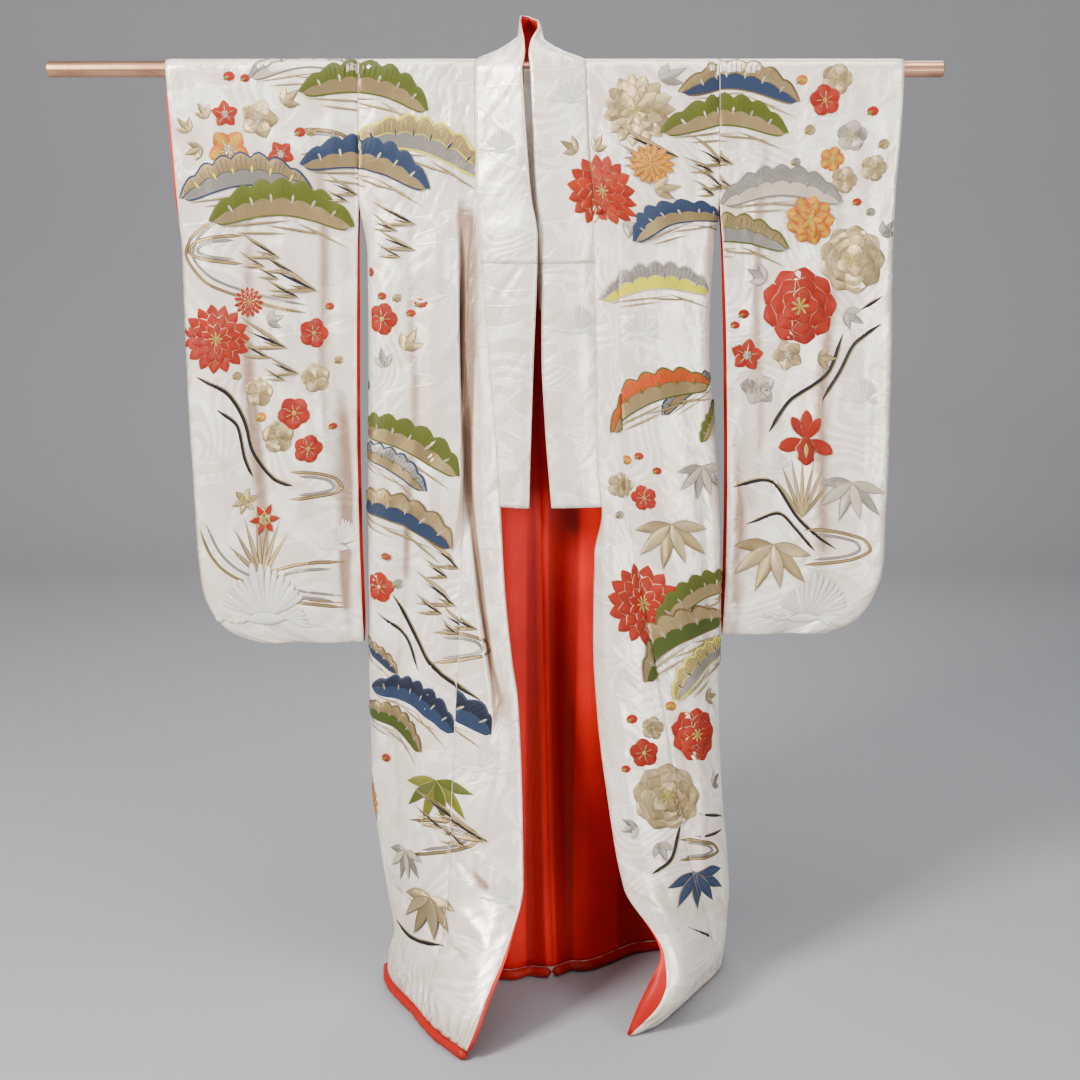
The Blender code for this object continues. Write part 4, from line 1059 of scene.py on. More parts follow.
def plum(canvas, centre, r, turn, palette):
    petals(canvas, centre, 5, r * 0.02, r, r * 1.04, "round", palette, turn, 1)
    petals(canvas, centre, 7, r * 0.10, r * 0.54, r * 0.08, "narrow", "gold", turn, 3)
    dot(canvas, centre, (0, 0), r * 0.13, "lemonGold", 4)


def bellflower(canvas, centre, r, turn, palette):
    petals(canvas, centre, 5, 0.0, r, r * 0.90, "star", palette, turn, 1)
    petals(canvas, centre, 5, 0.0, r * 0.70, r * 0.10, "point", "gold", turn, 3)
    petals(canvas, centre, 5, 0.0, r * 0.30, r * 0.20, "point", "silver", turn + 36, 4)


def peony(canvas, centre, r, turn, palette):
    petals(canvas, centre, 9, r * 0.28, r, r * 0.68, "ruffle", palette, turn, 1)
    petals(canvas, centre, 7, r * 0.14, r * 0.76, r * 0.58, "ruffle", palette, turn + 20, 3)
    petals(canvas, centre, 5, r * 0.04, r * 0.50, r * 0.46, "ruffle", palette, turn, 5)
    petals(canvas, centre, 7, 0.0, r * 0.24, r * 0.08, "narrow", "lemonGold", turn, 7)


def bud(canvas, centre, r, turn, palette):
    patch(canvas, centre, (-r, 0), 0, r * 2.0, r * 1.8, "dot", palette, 1)
    patch(canvas, centre, (-r, -r * 0.6), 30 + turn, r * 1.3, r * 0.6, "point", "olive", 3)


def leaves(canvas, centre, r, turn, palette):
    for spread, long in ((-40, 1.3), (0, 1.6), (38, 1.24)):
        patch(canvas, centre, (0, 0), turn + spread, r * long, r * 0.58, "point", palette, 1, spread > 0)


def bamboo(canvas, centre, r, turn, palette):
    fan = ((-80, 0.78), (-48, 0.98), (-16, 1.0), (14, 0.88), (44, 1.0), (78, 0.80))
    for k, (spread, long) in enumerate(fan):
        patch(canvas, centre, (0, 0), turn + spread, r * long * 1.1, r * 0.28, "point", palette,
              1 + 2 * (k % 2),
              k % 2 == 1)


# Pine drawn as a cloud: arched, scalloped band over an inner fill, with slots and thin boughs below
pineForm = {"arch": 0.18, "drop": 0.06, "half": 0.142, "lobes": 7, "scallop": 0.34, "band": 0.04,
            "rim": 0.0036,
            "needles": (-0.22, 0.0, 0.22), "slot": 0.066, "boughs": ((-0.47, -0.10, 6, 0.60),
            (-0.12, -0.07, -5, 0.52), (0.10, -0.04, -22, 0.46),
                                      (-0.36, -0.14, 3, 0.42))}


def pine(canvas, centre, width, turn, palette):
    form = pineForm
    rim, band, fill, slots = pinePalettes[palette]
    s = np.sin(np.linspace(-0.5, 0.5, 43) * np.pi * 0.985)
    middle = form["arch"] * (1 - s * s) - form["drop"]
    half = form["half"] * (1 - np.abs(s) ** 3.2) ** 0.55
    lobes = np.abs(np.sin(np.pi * form["lobes"] / 2 * (s + 1)))
    top = (middle + half * (0.80 + form["scallop"] * lobes)) * width
    foot = (middle - half * 0.85) * width
    split = (middle + half * (form["band"] + 0.5 * form["scallop"] * (lobes - 0.5))) * width
    edge = np.minimum(form["rim"], (top - foot) * 0.22)
    rows = (foot, foot + edge * 0.8, split - 0.0006, split + 0.0006, top - edge, top)
    spread = 0.5 * s * width
    local = np.stack([np.stack([spread * (1 + 0.10 * k / 5), row], axis=1) for k, row in enumerate(rows)],
            axis=1)
    turned = math.radians(turn)
    spin = np.array(((math.cos(turned), math.sin(turned)), (-math.sin(turned), math.cos(turned))))
    base = (canvas["base"] + 1) * stitch["layer"]
    high = base + stitch["lift"]
    strips(canvas, centre, local @ spin, (base, high, high + 0.0001, high + 0.0004, high + 0.0004, base),
           (rim, fill, rim, band, rim), chance.uniform(0.92, 1.08))
    # thin lines from the band's foot out to its scallops
    for k in range(form["lobes"]):
        for needle in form["needles"]:
            place = (2 * (k + 0.5 + needle)) / form["lobes"] - 1
            j = int(np.argmin(np.abs(s - place)))
            if top[j] - split[j] > 0.006:
                spot = np.array((spread[j] * 1.05, split[j] + 0.001))
                patch(canvas, centre, spot @ spin, 90 - 34 * place + turn, (top[j] - split[j]) * 0.72,
                      0.0016, "narrow",
                      rim + "Slot", 3)
    for k in range(1, form["lobes"]):
        place = 2 * k / form["lobes"] - 1
        j = int(np.argmin(np.abs(s - place)))
        spot = np.array((spread[j] * 1.02, split[j] - 0.25 * form["slot"] * width))
        patch(canvas, centre, spot @ spin, 90 - 48 * place + turn, form["slot"] * width, 0.026 * width,
              "round",
              slots + "Slot", 3)
    for x, y, slope, long in form["boughs"]:
        patch(canvas, centre, np.array((x, y)) * width @ spin, turn + slope + chance.uniform(-3, 3),
              long * width,
              0.020 * width, "point", "gold", 1)


def narcissus(canvas, centre, r, turn, palette):
    petals(canvas, centre, 6, r * 0.08, r, r * 0.50, "point", palette, turn, 1)
    petals(canvas, centre, 6, 0.0, r * 0.40, r * 0.30, "round", "lemonGold", turn + 30, 3)


def iris(canvas, centre, r, turn, palette):
    for angle, long, wide in ((90, 1.0, 0.46), (56, 0.9, 0.4), (124, 0.9, 0.4), (200, 1.0, 0.52),
            (-20, 1.0, 0.52)):
        patch(canvas, centre, (0, 0), angle + turn, r * long, r * wide, "round", palette, 1)
    patch(canvas, centre, (0, r * 0.1), -90 + turn, r * 0.95, r * 0.66, "ruffle", palette, 3)
    patch(canvas, centre, (0, -r * 0.1), -90 + turn, r * 0.5, r * 0.14, "point", "lemonGold", 5)


def blades(canvas, centre, r, turn, palette):
    for k, spread in enumerate((-36, -22, -11, 1, 12, 24, 38)):
        long = r * (0.72 + 0.28 * math.cos(math.radians(spread * 2.2)))
        patch(canvas, centre, (0, 0), turn + spread, long, r * 0.07, "point", palette, 1 + k % 2,
                k % 3 == 1)


# Crane in flight, head to the left, wings up
def crane(canvas, centre, r, turn, palette):
    for spread in (-24, -14, -4, 6, 14):
        patch(canvas, centre, (0.28 * r, -0.04 * r), turn + spread, r * 0.50, r * 0.10, "narrow", palette,
                1)
    for y in (-0.10, -0.06):
        patch(canvas, centre, (0.34 * r, y * r), turn - 16, r * 0.62, r * 0.03, "narrow", palette, 0)
    for k in range(9):
        patch(canvas, centre, ((-0.12 + 0.02 * k) * r, 0.04 * r), turn + 150 - 8 * k,
              r * (0.60 + 0.03 * k), r * 0.13,
              "narrow", palette, 1 + k % 2, k % 2 == 1)
        patch(canvas, centre, ((0.08 + 0.022 * k) * r, 0.04 * r), turn + 96 - 8.5 * k,
              r * (1.0 - 0.045 * k), r * 0.14,
              "narrow", palette, 3 + k % 2, k % 2 == 1)
    patch(canvas, centre, (-0.34 * r, -0.03 * r), turn - 2, r * 0.78, r * 0.26, "point", palette, 6)
    for k in range(6):
        patch(canvas, centre, ((-0.24 - 0.09 * k) * r, (0.0 - 0.05 * math.sin(k * 0.9)) * r), turn + 176,
              r * 0.16,
              r * (0.14 - 0.012 * k), "round", palette, 6 + k % 2)
    dot(canvas, centre, (-0.80 * r, 0.01 * r), r * 0.055, palette, 8)
    patch(canvas, centre, (-0.83 * r, 0), turn + 178, r * 0.17, r * 0.045, "point", palette, 7)


# Broken rock: pointed shapes outlined by gold strokes that meet at a tip, with a black stroke inside
def rocks(canvas, centre, width, turn, palette):
    for x, y, size in ((0.56, -0.10, 1.0), (0.22, -0.26, 0.62)):
        tip = np.array((x, y)) * width + chance.uniform(-0.03, 0.03, 2) * width
        for slope, share, wide, colour in ((148, 1.10, 0.080, "gold"), (178, 0.86, 0.075, "gold"),
                                           (154, 0.80, 0.055, "ink"), (166, 0.50, 0.050, palette)):
            patch(canvas, centre, tip, turn + slope + chance.uniform(-4, 4), width * share * size,
                  width * wide * (0.5 + 0.5 * size), "point", colour, 2 if colour == "ink" else 1)


# Raised line of couched thread on a smooth route through pixels of the photograph
def ribbon(canvas, route, width, palette):
    marks = np.array([placeOn(canvas, spot)[0] for spot in route])
    steps = np.arange(len(route))
    fine = np.linspace(0, len(route) - 1, 8 * (len(route) - 1) + 1)
    path = np.stack([smoothCurve(steps, marks[:, k], fine)[:, 0] for k in range(2)], axis=1)
    nearest = np.clip(path[:, 0].astype(int), 0, len(canvas["width"]) - 1)
    run = np.stack([path[:, 1] * canvas["width"][nearest].mean() * canvas["right"],
                    np.interp(path[:, 0], np.arange(len(canvas["rise"])), canvas["rise"]) * canvas["up"]],
                    axis=1)
    ahead = unit(np.gradient(run, axis=0))
    side = np.stack([-ahead[:, 1], ahead[:, 0]], axis=1)
    count = len(fine)
    taper = np.minimum(np.minimum(np.arange(count), np.arange(count)[::-1]) / 3.0, 1) * 0.8 + 0.2
    offsets = np.array((-0.5, -0.22, 0.22, 0.5)) * width
    local = (side * taper[:, None])[:, None] * offsets[:, None]
    rim, fill = palettes[palette][:2]
    names = ("black", "black", "gold") if rim == "black" else (rim, fill, rim)
    strips(canvas, np.repeat(path, 4, axis=0), local, (0.0001, stitch["lift"], stitch["lift"], 0.0001),
            names)


# What is sewn on, each with the pixel of its middle, its radius or width in pixels, its turn and palette
design = (
    ("pine", 306, 68, 106, 3, "silver"), ("pine", 366, 94, 122, -8, "green"), ("bud", 229, 76, 6, 0, "red"),
    ("bud", 245, 78, 5, 0, "red"), ("bellflower", 225, 114, 14, 20, "red"), ("bellflower", 281, 154, 14,
    50, "red"),
    ("bellflower", 259, 119, 20, 0, "gold"), ("bellflower", 229, 150, 22, 54, "orange"),
    ("bud", 300, 132, 6, 0, "red"), ("bud", 311, 132, 5, 0, "gold"), ("leaves", 190, 132, 12, 130, "gold"),
    ("leaves", 202, 148, 12, 200, "gold"), ("leaves", 207, 118, 11, 120, "gold"),
    ("leaves", 282, 104, 14, 40, "gold"),
    ("pine", 245, 186, 124, 5, "blueGold"), ("pine", 282, 216, 136, -2, "green"),
    ("pine", 419, 152, 130, -13, "lemonGold"), ("pine", 366, 170, 122, -10, "blue"),
    ("rocks", 255, 253, 47, 0, "blackGold"),
    ("rocks", 270, 268, 44, 0, "blackGold"), ("rocks", 285, 283, 60, 0, "blackGold"),
    ("rocks", 338, 192, 36, 0, "blackGold"), ("chrysanthemum", 249, 302, 15, 0, "red"),
    ("chrysanthemum", 216, 339, 33, 0, "red"), ("leaves", 267, 322, 13, 20, "silver"),
    ("rocks", 259, 343, 56, 0, "blackGold"), ("rocks", 277, 371, 40, 0, "blackGold"),
    ("plum", 314, 333, 16, 0, "red"),
    ("plum", 316, 378, 16, 30, "gold"), ("plum", 259, 392, 16, 10, "gold"),
    ("plum", 294, 413, 18, 50, "red"),
    ("plum", 278, 437, 18, 20, "gold"), ("plum", 308, 449, 16, 0, "red"), ("bud", 330, 306, 5, 0, "red"),
    ("bud", 339, 360, 5, 0, "gold"), ("bud", 237, 376, 5, 0, "gold"), ("bud", 261, 417, 6, 0, "orange"),
    ("bud", 333, 426, 5, 0, "red"), ("narcissus", 245, 501, 15, 10, "gold"), ("blades", 262, 578, 72, 90,
    "gold"),
    ("narcissus", 265, 519, 18, 0, "red"), ("crane", 264, 616, 60, 0, "white"),
    ("rocks", 388, 220, 46, 0, "blackGold"), ("rocks", 390, 246, 42, 0, "blackGold"),
    ("bud", 371, 272, 6, 0, "red"),
    ("bud", 382, 296, 5, 0, "red"), ("plum", 382, 319, 17, 0, "red"), ("bud", 421, 303, 6, 0, "red"),
    ("bud", 411, 313, 5, 0, "red"), ("bud", 397, 298, 5, 0, "gold"), ("leaves", 404, 350, 16, 60, "gold"),
    ("leaves", 384, 368, 14, 100, "silver"), ("bud", 369, 385, 6, 0, "blue"), ("pine", 396, 448, 118, -20,
    "green"),
    ("pine", 384, 468, 88, -22, "silverBlue"), ("pine", 392, 522, 118, -18, "goldBlue"),
    ("bud", 387, 556, 5, 0, "red"),
    ("plum", 379, 587, 17, 10, "red"), ("bud", 398, 584, 6, 0, "silver"),
    ("rocks", 440, 566, 54, 0, "blackGold"),
    ("rocks", 432, 600, 60, 0, "blackGold"), ("rocks", 450, 624, 44, 0, "blackGold"),
    ("pine", 372, 656, 66, -18, "goldBlue"), ("pine", 412, 706, 108, -18, "navy"),
    ("pine", 392, 726, 92, -18, "gold"),
    ("bud", 387, 757, 6, 0, "red"), ("chrysanthemum", 372, 795, 26, 0, "orange"),
    ("bamboo", 436, 780, 46, -90, "olive"), ("crane", 476, 768, 26, 0, "woven"),
    ("rocks", 432, 812, 58, 0, "blackGold"), ("rocks", 456, 830, 60, 0, "blackGold"),
    ("bamboo", 406, 850, 34, -90, "silver"), ("bamboo", 431, 896, 46, -90, "gold"),
    ("chrysanthemum", 635, 110, 33, 0, "gold"), ("leaves", 660, 80, 15, 30, "silver"),
    ("rocks", 640, 150, 62, 0, "blackGold"), ("leaves", 578, 151, 13, 150, "gold"),
    ("leaves", 595, 151, 12, 60, "gold"), ("chrysanthemum", 602, 191, 34, 0, "redGold"),
    ("chrysanthemum", 650, 164, 19, 0, "orange"), ("leaves", 654, 190, 14, 10, "gold"),
    ("leaves", 624, 222, 14, -60, "silver"), ("pine", 735, 90, 120, -4, "goldBlue"),
    ("pine", 724, 126, 118, 0, "green"),
    ("rocks", 706, 160, 50, 0, "blackGold"), ("rocks", 708, 184, 44, 0, "blackGold"),
    ("pine", 678, 224, 96, 14, "blue"),
    ("pine", 729, 242, 114, 0, "oliveGold"), ("pine", 657, 290, 108, 3, "silverLemon"),
    ("pine", 694, 394, 76, 24, "silverBlue"), ("pine", 656, 402, 118, 20, "greenGold"),
    ("pine", 712, 420, 60, 34, "green"),
    ("plum", 620, 485, 14, 0, "gold"), ("plum", 644, 498, 14, 30, "red"), ("bud", 626, 460, 6, 0, "orange"),
    ("bud", 639, 456, 5, 0, "red"), ("bud", 657, 471, 5, 0, "red"), ("bud", 620, 515, 5, 0, "silver"),
    ("bamboo", 702, 466, 34, -90, "silver"), ("bamboo", 671, 524, 46, -90, "gold"),
    ("chrysanthemum", 642, 604, 41, 0, "red"), ("pine", 702, 600, 108, 18, "green"),
    ("pine", 680, 644, 128, 24, "gold"),
    ("pine", 706, 668, 100, 28, "lemonGold"), ("leaves", 705, 697, 12, 0, "gold"),
    ("bud", 632, 719, 6, 0, "red"), ("bud", 671, 706, 6, 0, "orange"), ("plum", 653, 728, 13, 0, "gold"),
    ("plum", 644, 753, 16, 20, "red"), ("bud", 626, 769, 5, 0, "red"), ("peony", 697, 735, 30, 0, "red"),
    ("peony", 667, 797, 37, 0, "gold"), ("leaves", 712, 785, 15, 20, "silver"),
    ("leaves", 659, 842, 15, -80, "silver"),
    ("leaves", 638, 826, 14, 200, "silver"), ("bamboo", 697, 872, 46, -90, "blue"),
    ("bud", 802, 80, 6, 0, "orange"),
    ("plum", 837, 79, 16, 0, "gold"), ("plum", 825, 100, 16, 30, "red"), ("bud", 873, 111, 6, 0, "red"),
    ("plum", 852, 136, 16, 10, "silver"), ("bud", 810, 130, 6, 0, "gold"), ("bud", 884, 144, 6, 0, "gold"),
    ("plum", 832, 159, 13, 0, "orange"), ("plum", 874, 168, 14, 0, "gold"),
    ("plum", 844, 180, 14, 0, "gold"),
    ("bud", 796, 162, 5, 0, "silver"), ("bud", 857, 202, 5, 0, "red"), ("bud", 871, 212, 5, 0, "silver"),
    ("pine", 781, 196, 114, 0, "silver"), ("peony", 810, 220, 25, 0, "orange"),
    ("peony", 852, 260, 35, 0, "gold"),
    ("peony", 800, 306, 40, 0, "red"), ("leaves", 766, 280, 15, 150, "silver"),
    ("leaves", 844, 312, 15, -30, "silver"),
    ("leaves", 882, 236, 13, 50, "silver"), ("bud", 744, 314, 6, 0, "red"), ("bud", 735, 325, 5, 0, "red"),
    ("bellflower", 747, 355, 18, 10, "red"), ("bellflower", 788, 355, 17, 40, "gold"),
    ("leaves", 817, 358, 14, 0, "gold"), ("bellflower", 758, 388, 20, 30, "silver"),
    ("blades", 802, 518, 66, 90, "gold"), ("iris", 806, 440, 32, 0, "red"), ("bamboo", 852, 482, 42, -90,
    "silver"),
    ("bamboo", 773, 544, 50, -90, "gold"), ("crane", 803, 616, 50, 0, "white"),
    ("crane", 436, 300, 26, 20, "woven"), ("crane", 340, 545, 26, -10, "woven"),
    ("crane", 576, 330, 26, 0, "woven"), ("crane", 640, 335, 24, 10, "woven"),
    ("crane", 400, 975, 28, 0, "woven"),
    ("crane", 660, 930, 28, 0, "woven"), ("crane", 770, 470, 26, 0, "woven"),
    ("crane", 500, 900, 24, 0, "woven"),
    ("crane", 500, 150, 22, 0, "woven"), ("crane", 570, 100, 22, 0, "woven"),
    ("crane", 860, 400, 24, 10, "woven"),
)
# only on the middle of the back
backDesign = (
    ("pine", 540, 110, 130, 0, "green"), ("chrysanthemum", 515, 190, 38, 0, "red"),
    ("pine", 560, 260, 120, 0, "blueGold"),
    ("peony", 505, 340, 40, 0, "gold"), ("bellflower", 560, 350, 22, 0, "red"),
    ("bamboo", 540, 420, 50, -90, "olive"),
    ("crane", 545, 500, 60, 0, "white"), ("pine", 505, 580, 110, 0, "gold"),
    ("chrysanthemum", 572, 610, 40, 0, "redGold"),
    ("plum", 510, 660, 20, 0, "red"), ("bamboo", 565, 710, 52, -90, "gold"),
    ("pine", 520, 790, 120, 0, "blue"),
    ("peony", 572, 850, 38, 0, "orange"), ("rocks", 520, 880, 80, 0, "blackGold"),
    ("bamboo", 505, 910, 46, -90, "silver"),
)
# branches, streams and blades of grass: palette, width in metres, pixels on the way
routes = (
    ("blackGold", 0.0088, (196, 377), (227, 393), (246, 424), (252, 448), (276, 480), (293, 486)),
    ("blackGold", 0.0075, (217, 410), (238, 427), (245, 458), (253, 477)),
    ("blackGold", 0.0095, (393, 595), (418, 640), (434, 667), (480, 700)),
    ("blackGold", 0.0075, (377, 612), (406, 636), (418, 671)),
    ("blackGold", 0.0085, (396, 919), (410, 936), (444, 946)),
    ("blackGold", 0.0085, (681, 822), (671, 860), (652, 874)), ("blackGold", 0.0075, (695, 812),
    (722, 816)),
    ("blackGold", 0.0075, (695, 836), (722, 829)), ("blackGold", 0.0085, (688, 927), (729, 940)),
    ("blackGold", 0.0088, (843, 334), (829, 372), (788, 403), (769, 432)),
    ("blackGold", 0.0085, (881, 324), (855, 344), (840, 372), (822, 401)),
    ("blackGold", 0.0075, (860, 310), (883, 296)),
    ("blackGold", 0.0085, (733, 487), (768, 480), (800, 520), (836, 549)),
    ("blackGold", 0.0075, (746, 524), (778, 513), (797, 530), (815, 551)),
    ("gold", 0.0060, (220, 215), (190, 240), (186, 255), (205, 282), (238, 296), (270, 306), (306, 313)),
    ("silver", 0.0052, (227, 213), (197, 240), (193, 256), (212, 278), (242, 290), (275, 299), (306, 305)),
    ("gold", 0.0058, (200, 530), (214, 560), (240, 580), (290, 596), (345, 603)),
    ("silver", 0.0052, (206, 524), (221, 554), (246, 574), (292, 589), (345, 596)),
)
# streams as hairpin bends: middle pixel, width, and 1 where they turn on the right
streams = ((326, 142, 50, 1), (317, 486, 54, 1), (463, 648, 60, 1), (838, 548, 70, 1), (300, 585, 90, -1),
           (445, 838, 70, 1), (700, 850, 40, 1), (215, 250, 56, -1))
hairpin = ((-0.5, -0.42), (-0.05, -0.38), (0.36, -0.20), (0.46, 0.04), (0.26, 0.24), (-0.10, 0.34),
        (-0.5, 0.40))


# pixels of the slits between sleeves and body, which no motif crosses below the armholes
slit = {"left": 360, "right": 718, "top": 262, "off": 3}


def onEvery(canvases, spot, reach):
    for canvas in canvases:
        centre, gap = placeOn(canvas, spot)
        if gap < reach:
            yield canvas, centre, gap


motifMakers = {"chrysanthemum": (chrysanthemum, 1.0, 8), "plum": (plum, 1.0, 5),
               "bellflower": (bellflower, 1.0, 5),
               "peony": (peony, 1.0, 8), "bud": (bud, 1.0, 4), "leaves": (leaves, 1.0, 2),
               "bamboo": (bamboo, 1.0, 4),
               "pine": (pine, 0.42, 5), "narcissus": (narcissus, 1.0, 4), "iris": (iris, 1.0, 6),
               "blades": (blades, 1.0, 3), "crane": (crane, 0.9, 9), "rocks": (rocks, 0.45, 3)}


def embroider(canvases, patterns, lines):
    stacked = []
    for palette, width, *route in lines:
        for canvas in canvases:
            if min(placeOn(canvas, spot)[1] for spot in route) < 4:
                ribbon(canvas, route, width, palette)
    for kind, x, y, size, turn, palette in patterns:
        maker, share, layers = motifMakers[kind]
        reach = size * share
        under = [top for x0, y0, r, top in stacked if math.hypot(x - x0, y - y0) < 0.8 * (r + reach)]
        base = 0 if palette == "woven" else min(max(under, default=0), stitch["mostLayers"])
        if palette != "woven":
            stacked.append((x, y, reach, base + layers))
        for canvas, centre, gap in onEvery(canvases, (x, y), reach):
            if gap > slit["off"] and y > slit["top"] and slit["left"] - reach < x < slit["right"] + reach:
                if canvas["sleeve"] or not slit["left"] < x < slit["right"]:
                    continue
            canvas["base"] = base
            canvas["relief"] = stitch["wovenRelief"] if palette == "woven" else 1.0
            maker(canvas, centre, size * stitch["pixel"], turn, palette)


def sampled(grid, rows, columns):
    j = np.clip(np.floor(rows).astype(int), 0, grid.shape[0] - 2)
    i = np.clip(np.floor(columns).astype(int), 0, grid.shape[1] - 2)
    a, b = (rows - j)[:, None], (columns - i)[:, None]
    upper = grid[j, i] * (1 - b) + grid[j, i + 1] * b
    lower = grid[j + 1, i] * (1 - b) + grid[j + 1, i + 1] * b
    return upper * (1 - a) + lower * a


# Lays every part of a panel's canvases on its cloth as one piece
def sewOn(name, canvases, material):
    verts, faces, colours, metals, flats, start = [], [], [], [], [], 0
    for canvas in canvases:
        rows, columns = canvas["points"].shape[:2]
        for centre, local, heights, partFaces, partColours, partMetals, flat in canvas["parts"]:
            rise = np.interp(centre[:, 0], np.arange(rows), canvas["rise"])
            beyond = (centre[:, 0] - np.clip(centre[:, 0], 0, rows - 1)) * np.diff(canvas["rise"]).mean()
            place = rise + beyond + canvas["up"] * local[:, 1]
            row = np.interp(place, canvas["rise"], np.arange(rows))
            near = np.clip(row.astype(int), 0, rows - 1)
            column = centre[:, 1] + canvas["right"] * local[:, 0] / canvas["width"][near]
            inside = (place > 0) & (place < canvas["rise"][-1]) & (column > 0.1) & (column < columns - 1.1)
            kept = inside[partFaces].any(axis=1)
            if not kept.any():
                continue
            column = np.clip(column, 0.1, columns - 1.1)
            lift = np.where(inside, heights, 0.0001)[:, None]
            spots = sampled(canvas["points"], row, column) + unit(sampled(canvas["normal"], row,
                    column)) * lift
            verts.append(spots)
            faces.append(partFaces[kept] + start)
            colours.append(partColours[kept])
            metals.append(np.repeat(partMetals[kept], 4))
            flats.append(flat[partFaces[kept]].reshape(-1, 2))
            start += len(local)
    mesh = bpy.data.meshes.new(name)
    mesh.from_pydata(np.vstack(verts).tolist(), [], np.vstack(faces).tolist())
    mesh.attributes.new("thread", "FLOAT_COLOR", "CORNER").data.foreach_set("color",
            np.vstack(colours).ravel())
    mesh.attributes.new("metal", "FLOAT", "CORNER").data.foreach_set("value", np.concatenate(metals))
    mesh.uv_layers.new(name="stitch").data.foreach_set("uv", np.vstack(flats).ravel())
    work = bmesh.new()
    work.from_mesh(mesh)
    bmesh.ops.dissolve_degenerate(work, dist=0.00003, edges=work.edges)
    bmesh.ops.delete(work, geom=[v for v in work.verts if not v.link_faces], context="VERTS")
    work.to_mesh(mesh)
    work.free()
    mesh.shade_smooth()
    mesh.materials.append(material)
    piece = bpy.data.objects.new(name, mesh)
    bpy.context.scene.collection.objects.link(piece)
    return piece


threadLook = {"silkRough": 0.44, "metalRough": 0.34, "strandScale": 330.0, "shade": 0.62}


def silkThread():
    look = threadLook
    material, tree, shader = newMaterial("silkThread")
    colour = addNode(tree, "ShaderNodeAttribute", {"attribute_name": "thread"}).outputs["Color"]
    metal = addNode(tree, "ShaderNodeAttribute", {"attribute_name": "metal"}).outputs["Fac"]
    place = addNode(tree, "ShaderNodeUVMap", {"uv_map": "stitch"}).outputs[0]
    slant = addNode(tree, "ShaderNodeMapping", Vector=place, Rotation=(0, 0, 0.7)).outputs[0]
    strands = addNode(tree, "ShaderNodeTexWave", {"bands_direction": "Y"}, Vector=slant,
                      Scale=look["strandScale"],
                      Distortion=0.8).outputs["Fac"]
    worn = addNode(tree, "ShaderNodeTexNoise", Vector=place, Scale=220.0, Detail=2.0).outputs["Fac"]
    dark = mixColour(tree, 1.0, colour, (look["shade"],) * 3 + (1,), "MULTIPLY")
    tree.links.new(mixColour(tree, ramp(tree, strands, 0.1, 0.8), dark, colour),
            shader.inputs["Base Color"])
    rough = mathNode(tree, "ADD", mathNode(tree, "MULTIPLY", metal, look["metalRough"] - look["silkRough"]),
                     look["silkRough"])
    rough = mathNode(tree, "ADD", rough, mathNode(tree, "MULTIPLY", worn, 0.14))
    tree.links.new(rough, shader.inputs["Roughness"])
    tree.links.new(mathNode(tree, "MULTIPLY", metal, 0.85), shader.inputs["Metallic"])
    height = mathNode(tree, "ADD", strands, mathNode(tree, "MULTIPLY", worn, 0.5))
    bump = addNode(tree, "ShaderNodeBump", Height=height, Strength=0.7, Distance=0.0003)
    tree.links.new(bump.outputs[0], shader.inputs["Normal"])
    shader.inputs["Specular IOR Level"].default_value = 0.30
    return material


overTop = len(rodAngles) + 4
canvases = {}
for name, way in (("bodyLeft", 1), ("bodyRight", -1), ("sleeveLeft", -1), ("sleeveRight", 1)):
    front = frontRows[name]
    canvases[name] = [newCanvas(name, slice(0, front + overTop), front, way, 1),
                      newCanvas(name, slice(front + overTop, None), None, -way, -1, True)]
canvases["okumiLeft"] = [newCanvas("okumiLeft", slice(None), None, 1, 1)]
canvases["okumiRight"] = [newCanvas("okumiRight", slice(None), None, -1, 1)]
lastRow = len(grids["collar"])
canvases["collar"] = [newCanvas("collar", slice(0, coverRow - 1), None, 1, 1),
                      newCanvas("collar", slice(lastRow - coverRow + 1, lastRow), None, -1, -1)]
halfCover = len(leftHalf) - 16 - coverRow
canvases["cover"] = [newCanvas("cover", slice(0, halfCover), None, 1, 1),
                     newCanvas("cover", slice(-halfCover, None), None, -1, -1)]
arcs = []
for x, y, width, way in streams:
    for k, share in enumerate((1.0, 0.68)):
        bend = [(x + way * share * width * a, y + share * width * 0.62 * b) for a, b in hairpin]
        arcs.append(("silver" if k % 2 else "gold", 0.0070 - 0.001 * k, *bend))
fronts = [c for name, faces in canvases.items() for c in (faces if name in ("collar",
        "cover") else faces[:1])]
backs = [faces[1] for name, faces in canvases.items() if name.startswith(("body", "sleeve"))]
embroider(fronts, design, routes + tuple(arcs))
embroider(backs, design + backDesign, routes)
thread = silkThread()
sewn = {name: sewOn(name + "Embroidery", faces, thread) for name, faces in canvases.items()
        if any(c["parts"] for c in faces)}
for name, piece in sewn.items():
    print(name, "embroidery faces", len(piece.data.polygons))

# What each piece stands for
print("declarations")
for name, piece in outers.items():
    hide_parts(nodeNames[name])
    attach(piece, "root")
for piece in sewn.values():
    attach(piece, "root")
for name, piece in linings.items():
    node = nodeNames[name].split("_")
    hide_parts(node[0] + "_lining_" + node[1])
    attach(piece, "root")
for piece, node, slot, flat in ((collarLining, "collar_lining", "red_lining", (0.09, 0.36)),
                                (cover, "collar_cover", "white_satin", (0.11, 1.00)),
                                (turned, "collar_turn", "white_satin", (0.02, 0.43))):
    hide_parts(node)
    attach(piece, "root")
for node, piece in rolls.items():
    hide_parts(node)
    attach(piece, "root")

# Floor, light and camera
print("studio")
studio = {"floorColour": (0.275, 0.28, 0.30, 1), "stain": (0.25, 0.25, 0.27, 1), "wallDistance": 4.8,
          "reach": 9.0,
          "bend": 1.4}


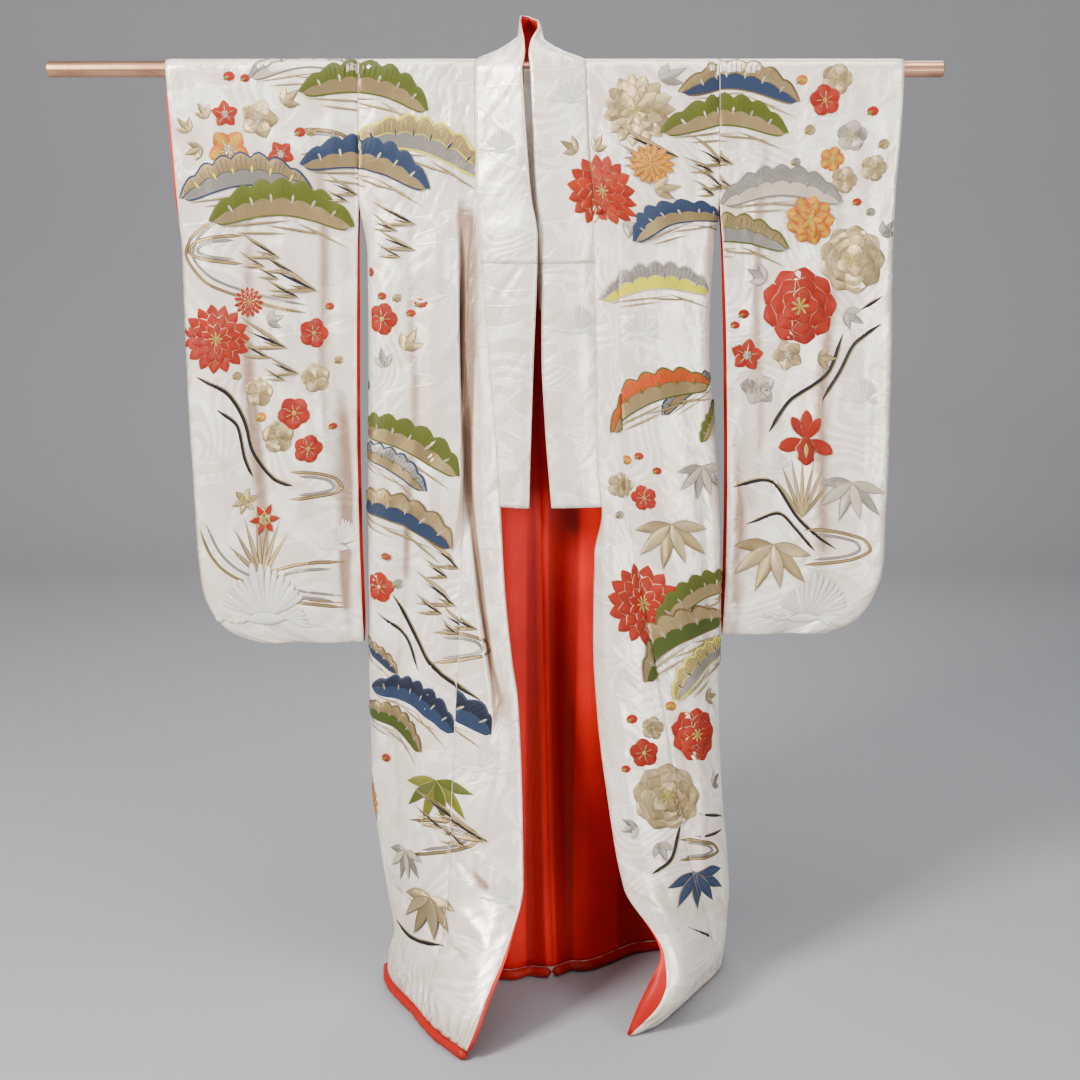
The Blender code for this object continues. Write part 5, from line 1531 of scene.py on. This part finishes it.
# Floor that curves up into a wall behind the garment
def backdrop():
    floor = -garment["floorDrop"]
    bend = studio["bend"]
    wall = studio["wallDistance"]
    profile = [(-studio["reach"], floor)]
    for angle in np.linspace(0, math.pi / 2, 13):
        profile.append((wall - bend + bend * math.sin(angle), floor + bend - bend * math.cos(angle)))
    profile.append((wall, floor + studio["reach"]))
    verts = [(x, y, z) for x in (-studio["reach"], studio["reach"]) for y, z in profile]
    n = len(profile)
    faces = [(i + n, i + 1 + n, i + 1, i) for i in range(n - 1)]
    material, tree, shader = newMaterial("paleFloor")
    place = addNode(tree, "ShaderNodeTexCoord").outputs["Object"]
    tone = addNode(tree, "ShaderNodeTexNoise", Vector=place, Scale=1.4, Detail=5.0).outputs["Fac"]
    colour = mixColour(tree, mathNode(tree, "MULTIPLY", tone, 0.20), studio["floorColour"], studio["stain"])
    tree.links.new(colour, shader.inputs["Base Color"])
    shader.inputs["Roughness"].default_value = 0.85
    return makeMesh("paleFloor", verts, faces, material, False)


backdrop()


def softLight(name, place, aim, size, watts, colour=(1, 1, 1)):
    data = bpy.data.lights.new(name, "AREA")
    data.shape = "RECTANGLE"
    data.size, data.size_y = size
    data.energy = watts
    data.color = colour
    lamp = bpy.data.objects.new(name, data)
    lamp.location = place
    lamp.rotation_euler = (Vector(aim) - Vector(place)).to_track_quat("-Z", "Y").to_euler()
    bpy.context.scene.collection.objects.link(lamp)


softLight("keyLight", (-2.7, -2.7, 1.4), (0, 0, -0.8), (1.1, 1.4), 430, (1.0, 0.965, 0.91))
softLight("fillLight", (2.6, -3.0, -0.5), (0.1, 0, -1.0), (1.6, 1.8), 124, (1.0, 0.98, 0.96))
softLight("topLight", (0.2, -0.9, 2.4), (0, 0, -1.0), (2.6, 1.6), 84)
softLight("backLight", (0.6, 2.6, 1.2), (0, 0, -0.9), (2.4, 1.6), 70)
world = bpy.data.worlds.new("paleRoom")
world.use_nodes = True
world.node_tree.nodes["Background"].inputs["Color"].default_value = (0.82, 0.81, 0.82, 1)
world.node_tree.nodes["Background"].inputs["Strength"].default_value = 0.48
bpy.context.scene.world = world

lens = bpy.data.cameras.new("photoCamera")
lens.sensor_width = photoCamera["sensor"]
lens.lens = photoCamera["focalPixels"] / photoCamera["size"] * photoCamera["sensor"]
camera = bpy.data.objects.new("photoCamera", lens)
camera.location = (photoCamera["x"], photoCamera["y"], photoCamera["z"])
camera.rotation_euler = (math.radians(90 - photoCamera["pitch"]), 0, 0)
bpy.context.scene.collection.objects.link(camera)
bpy.context.scene.camera = camera
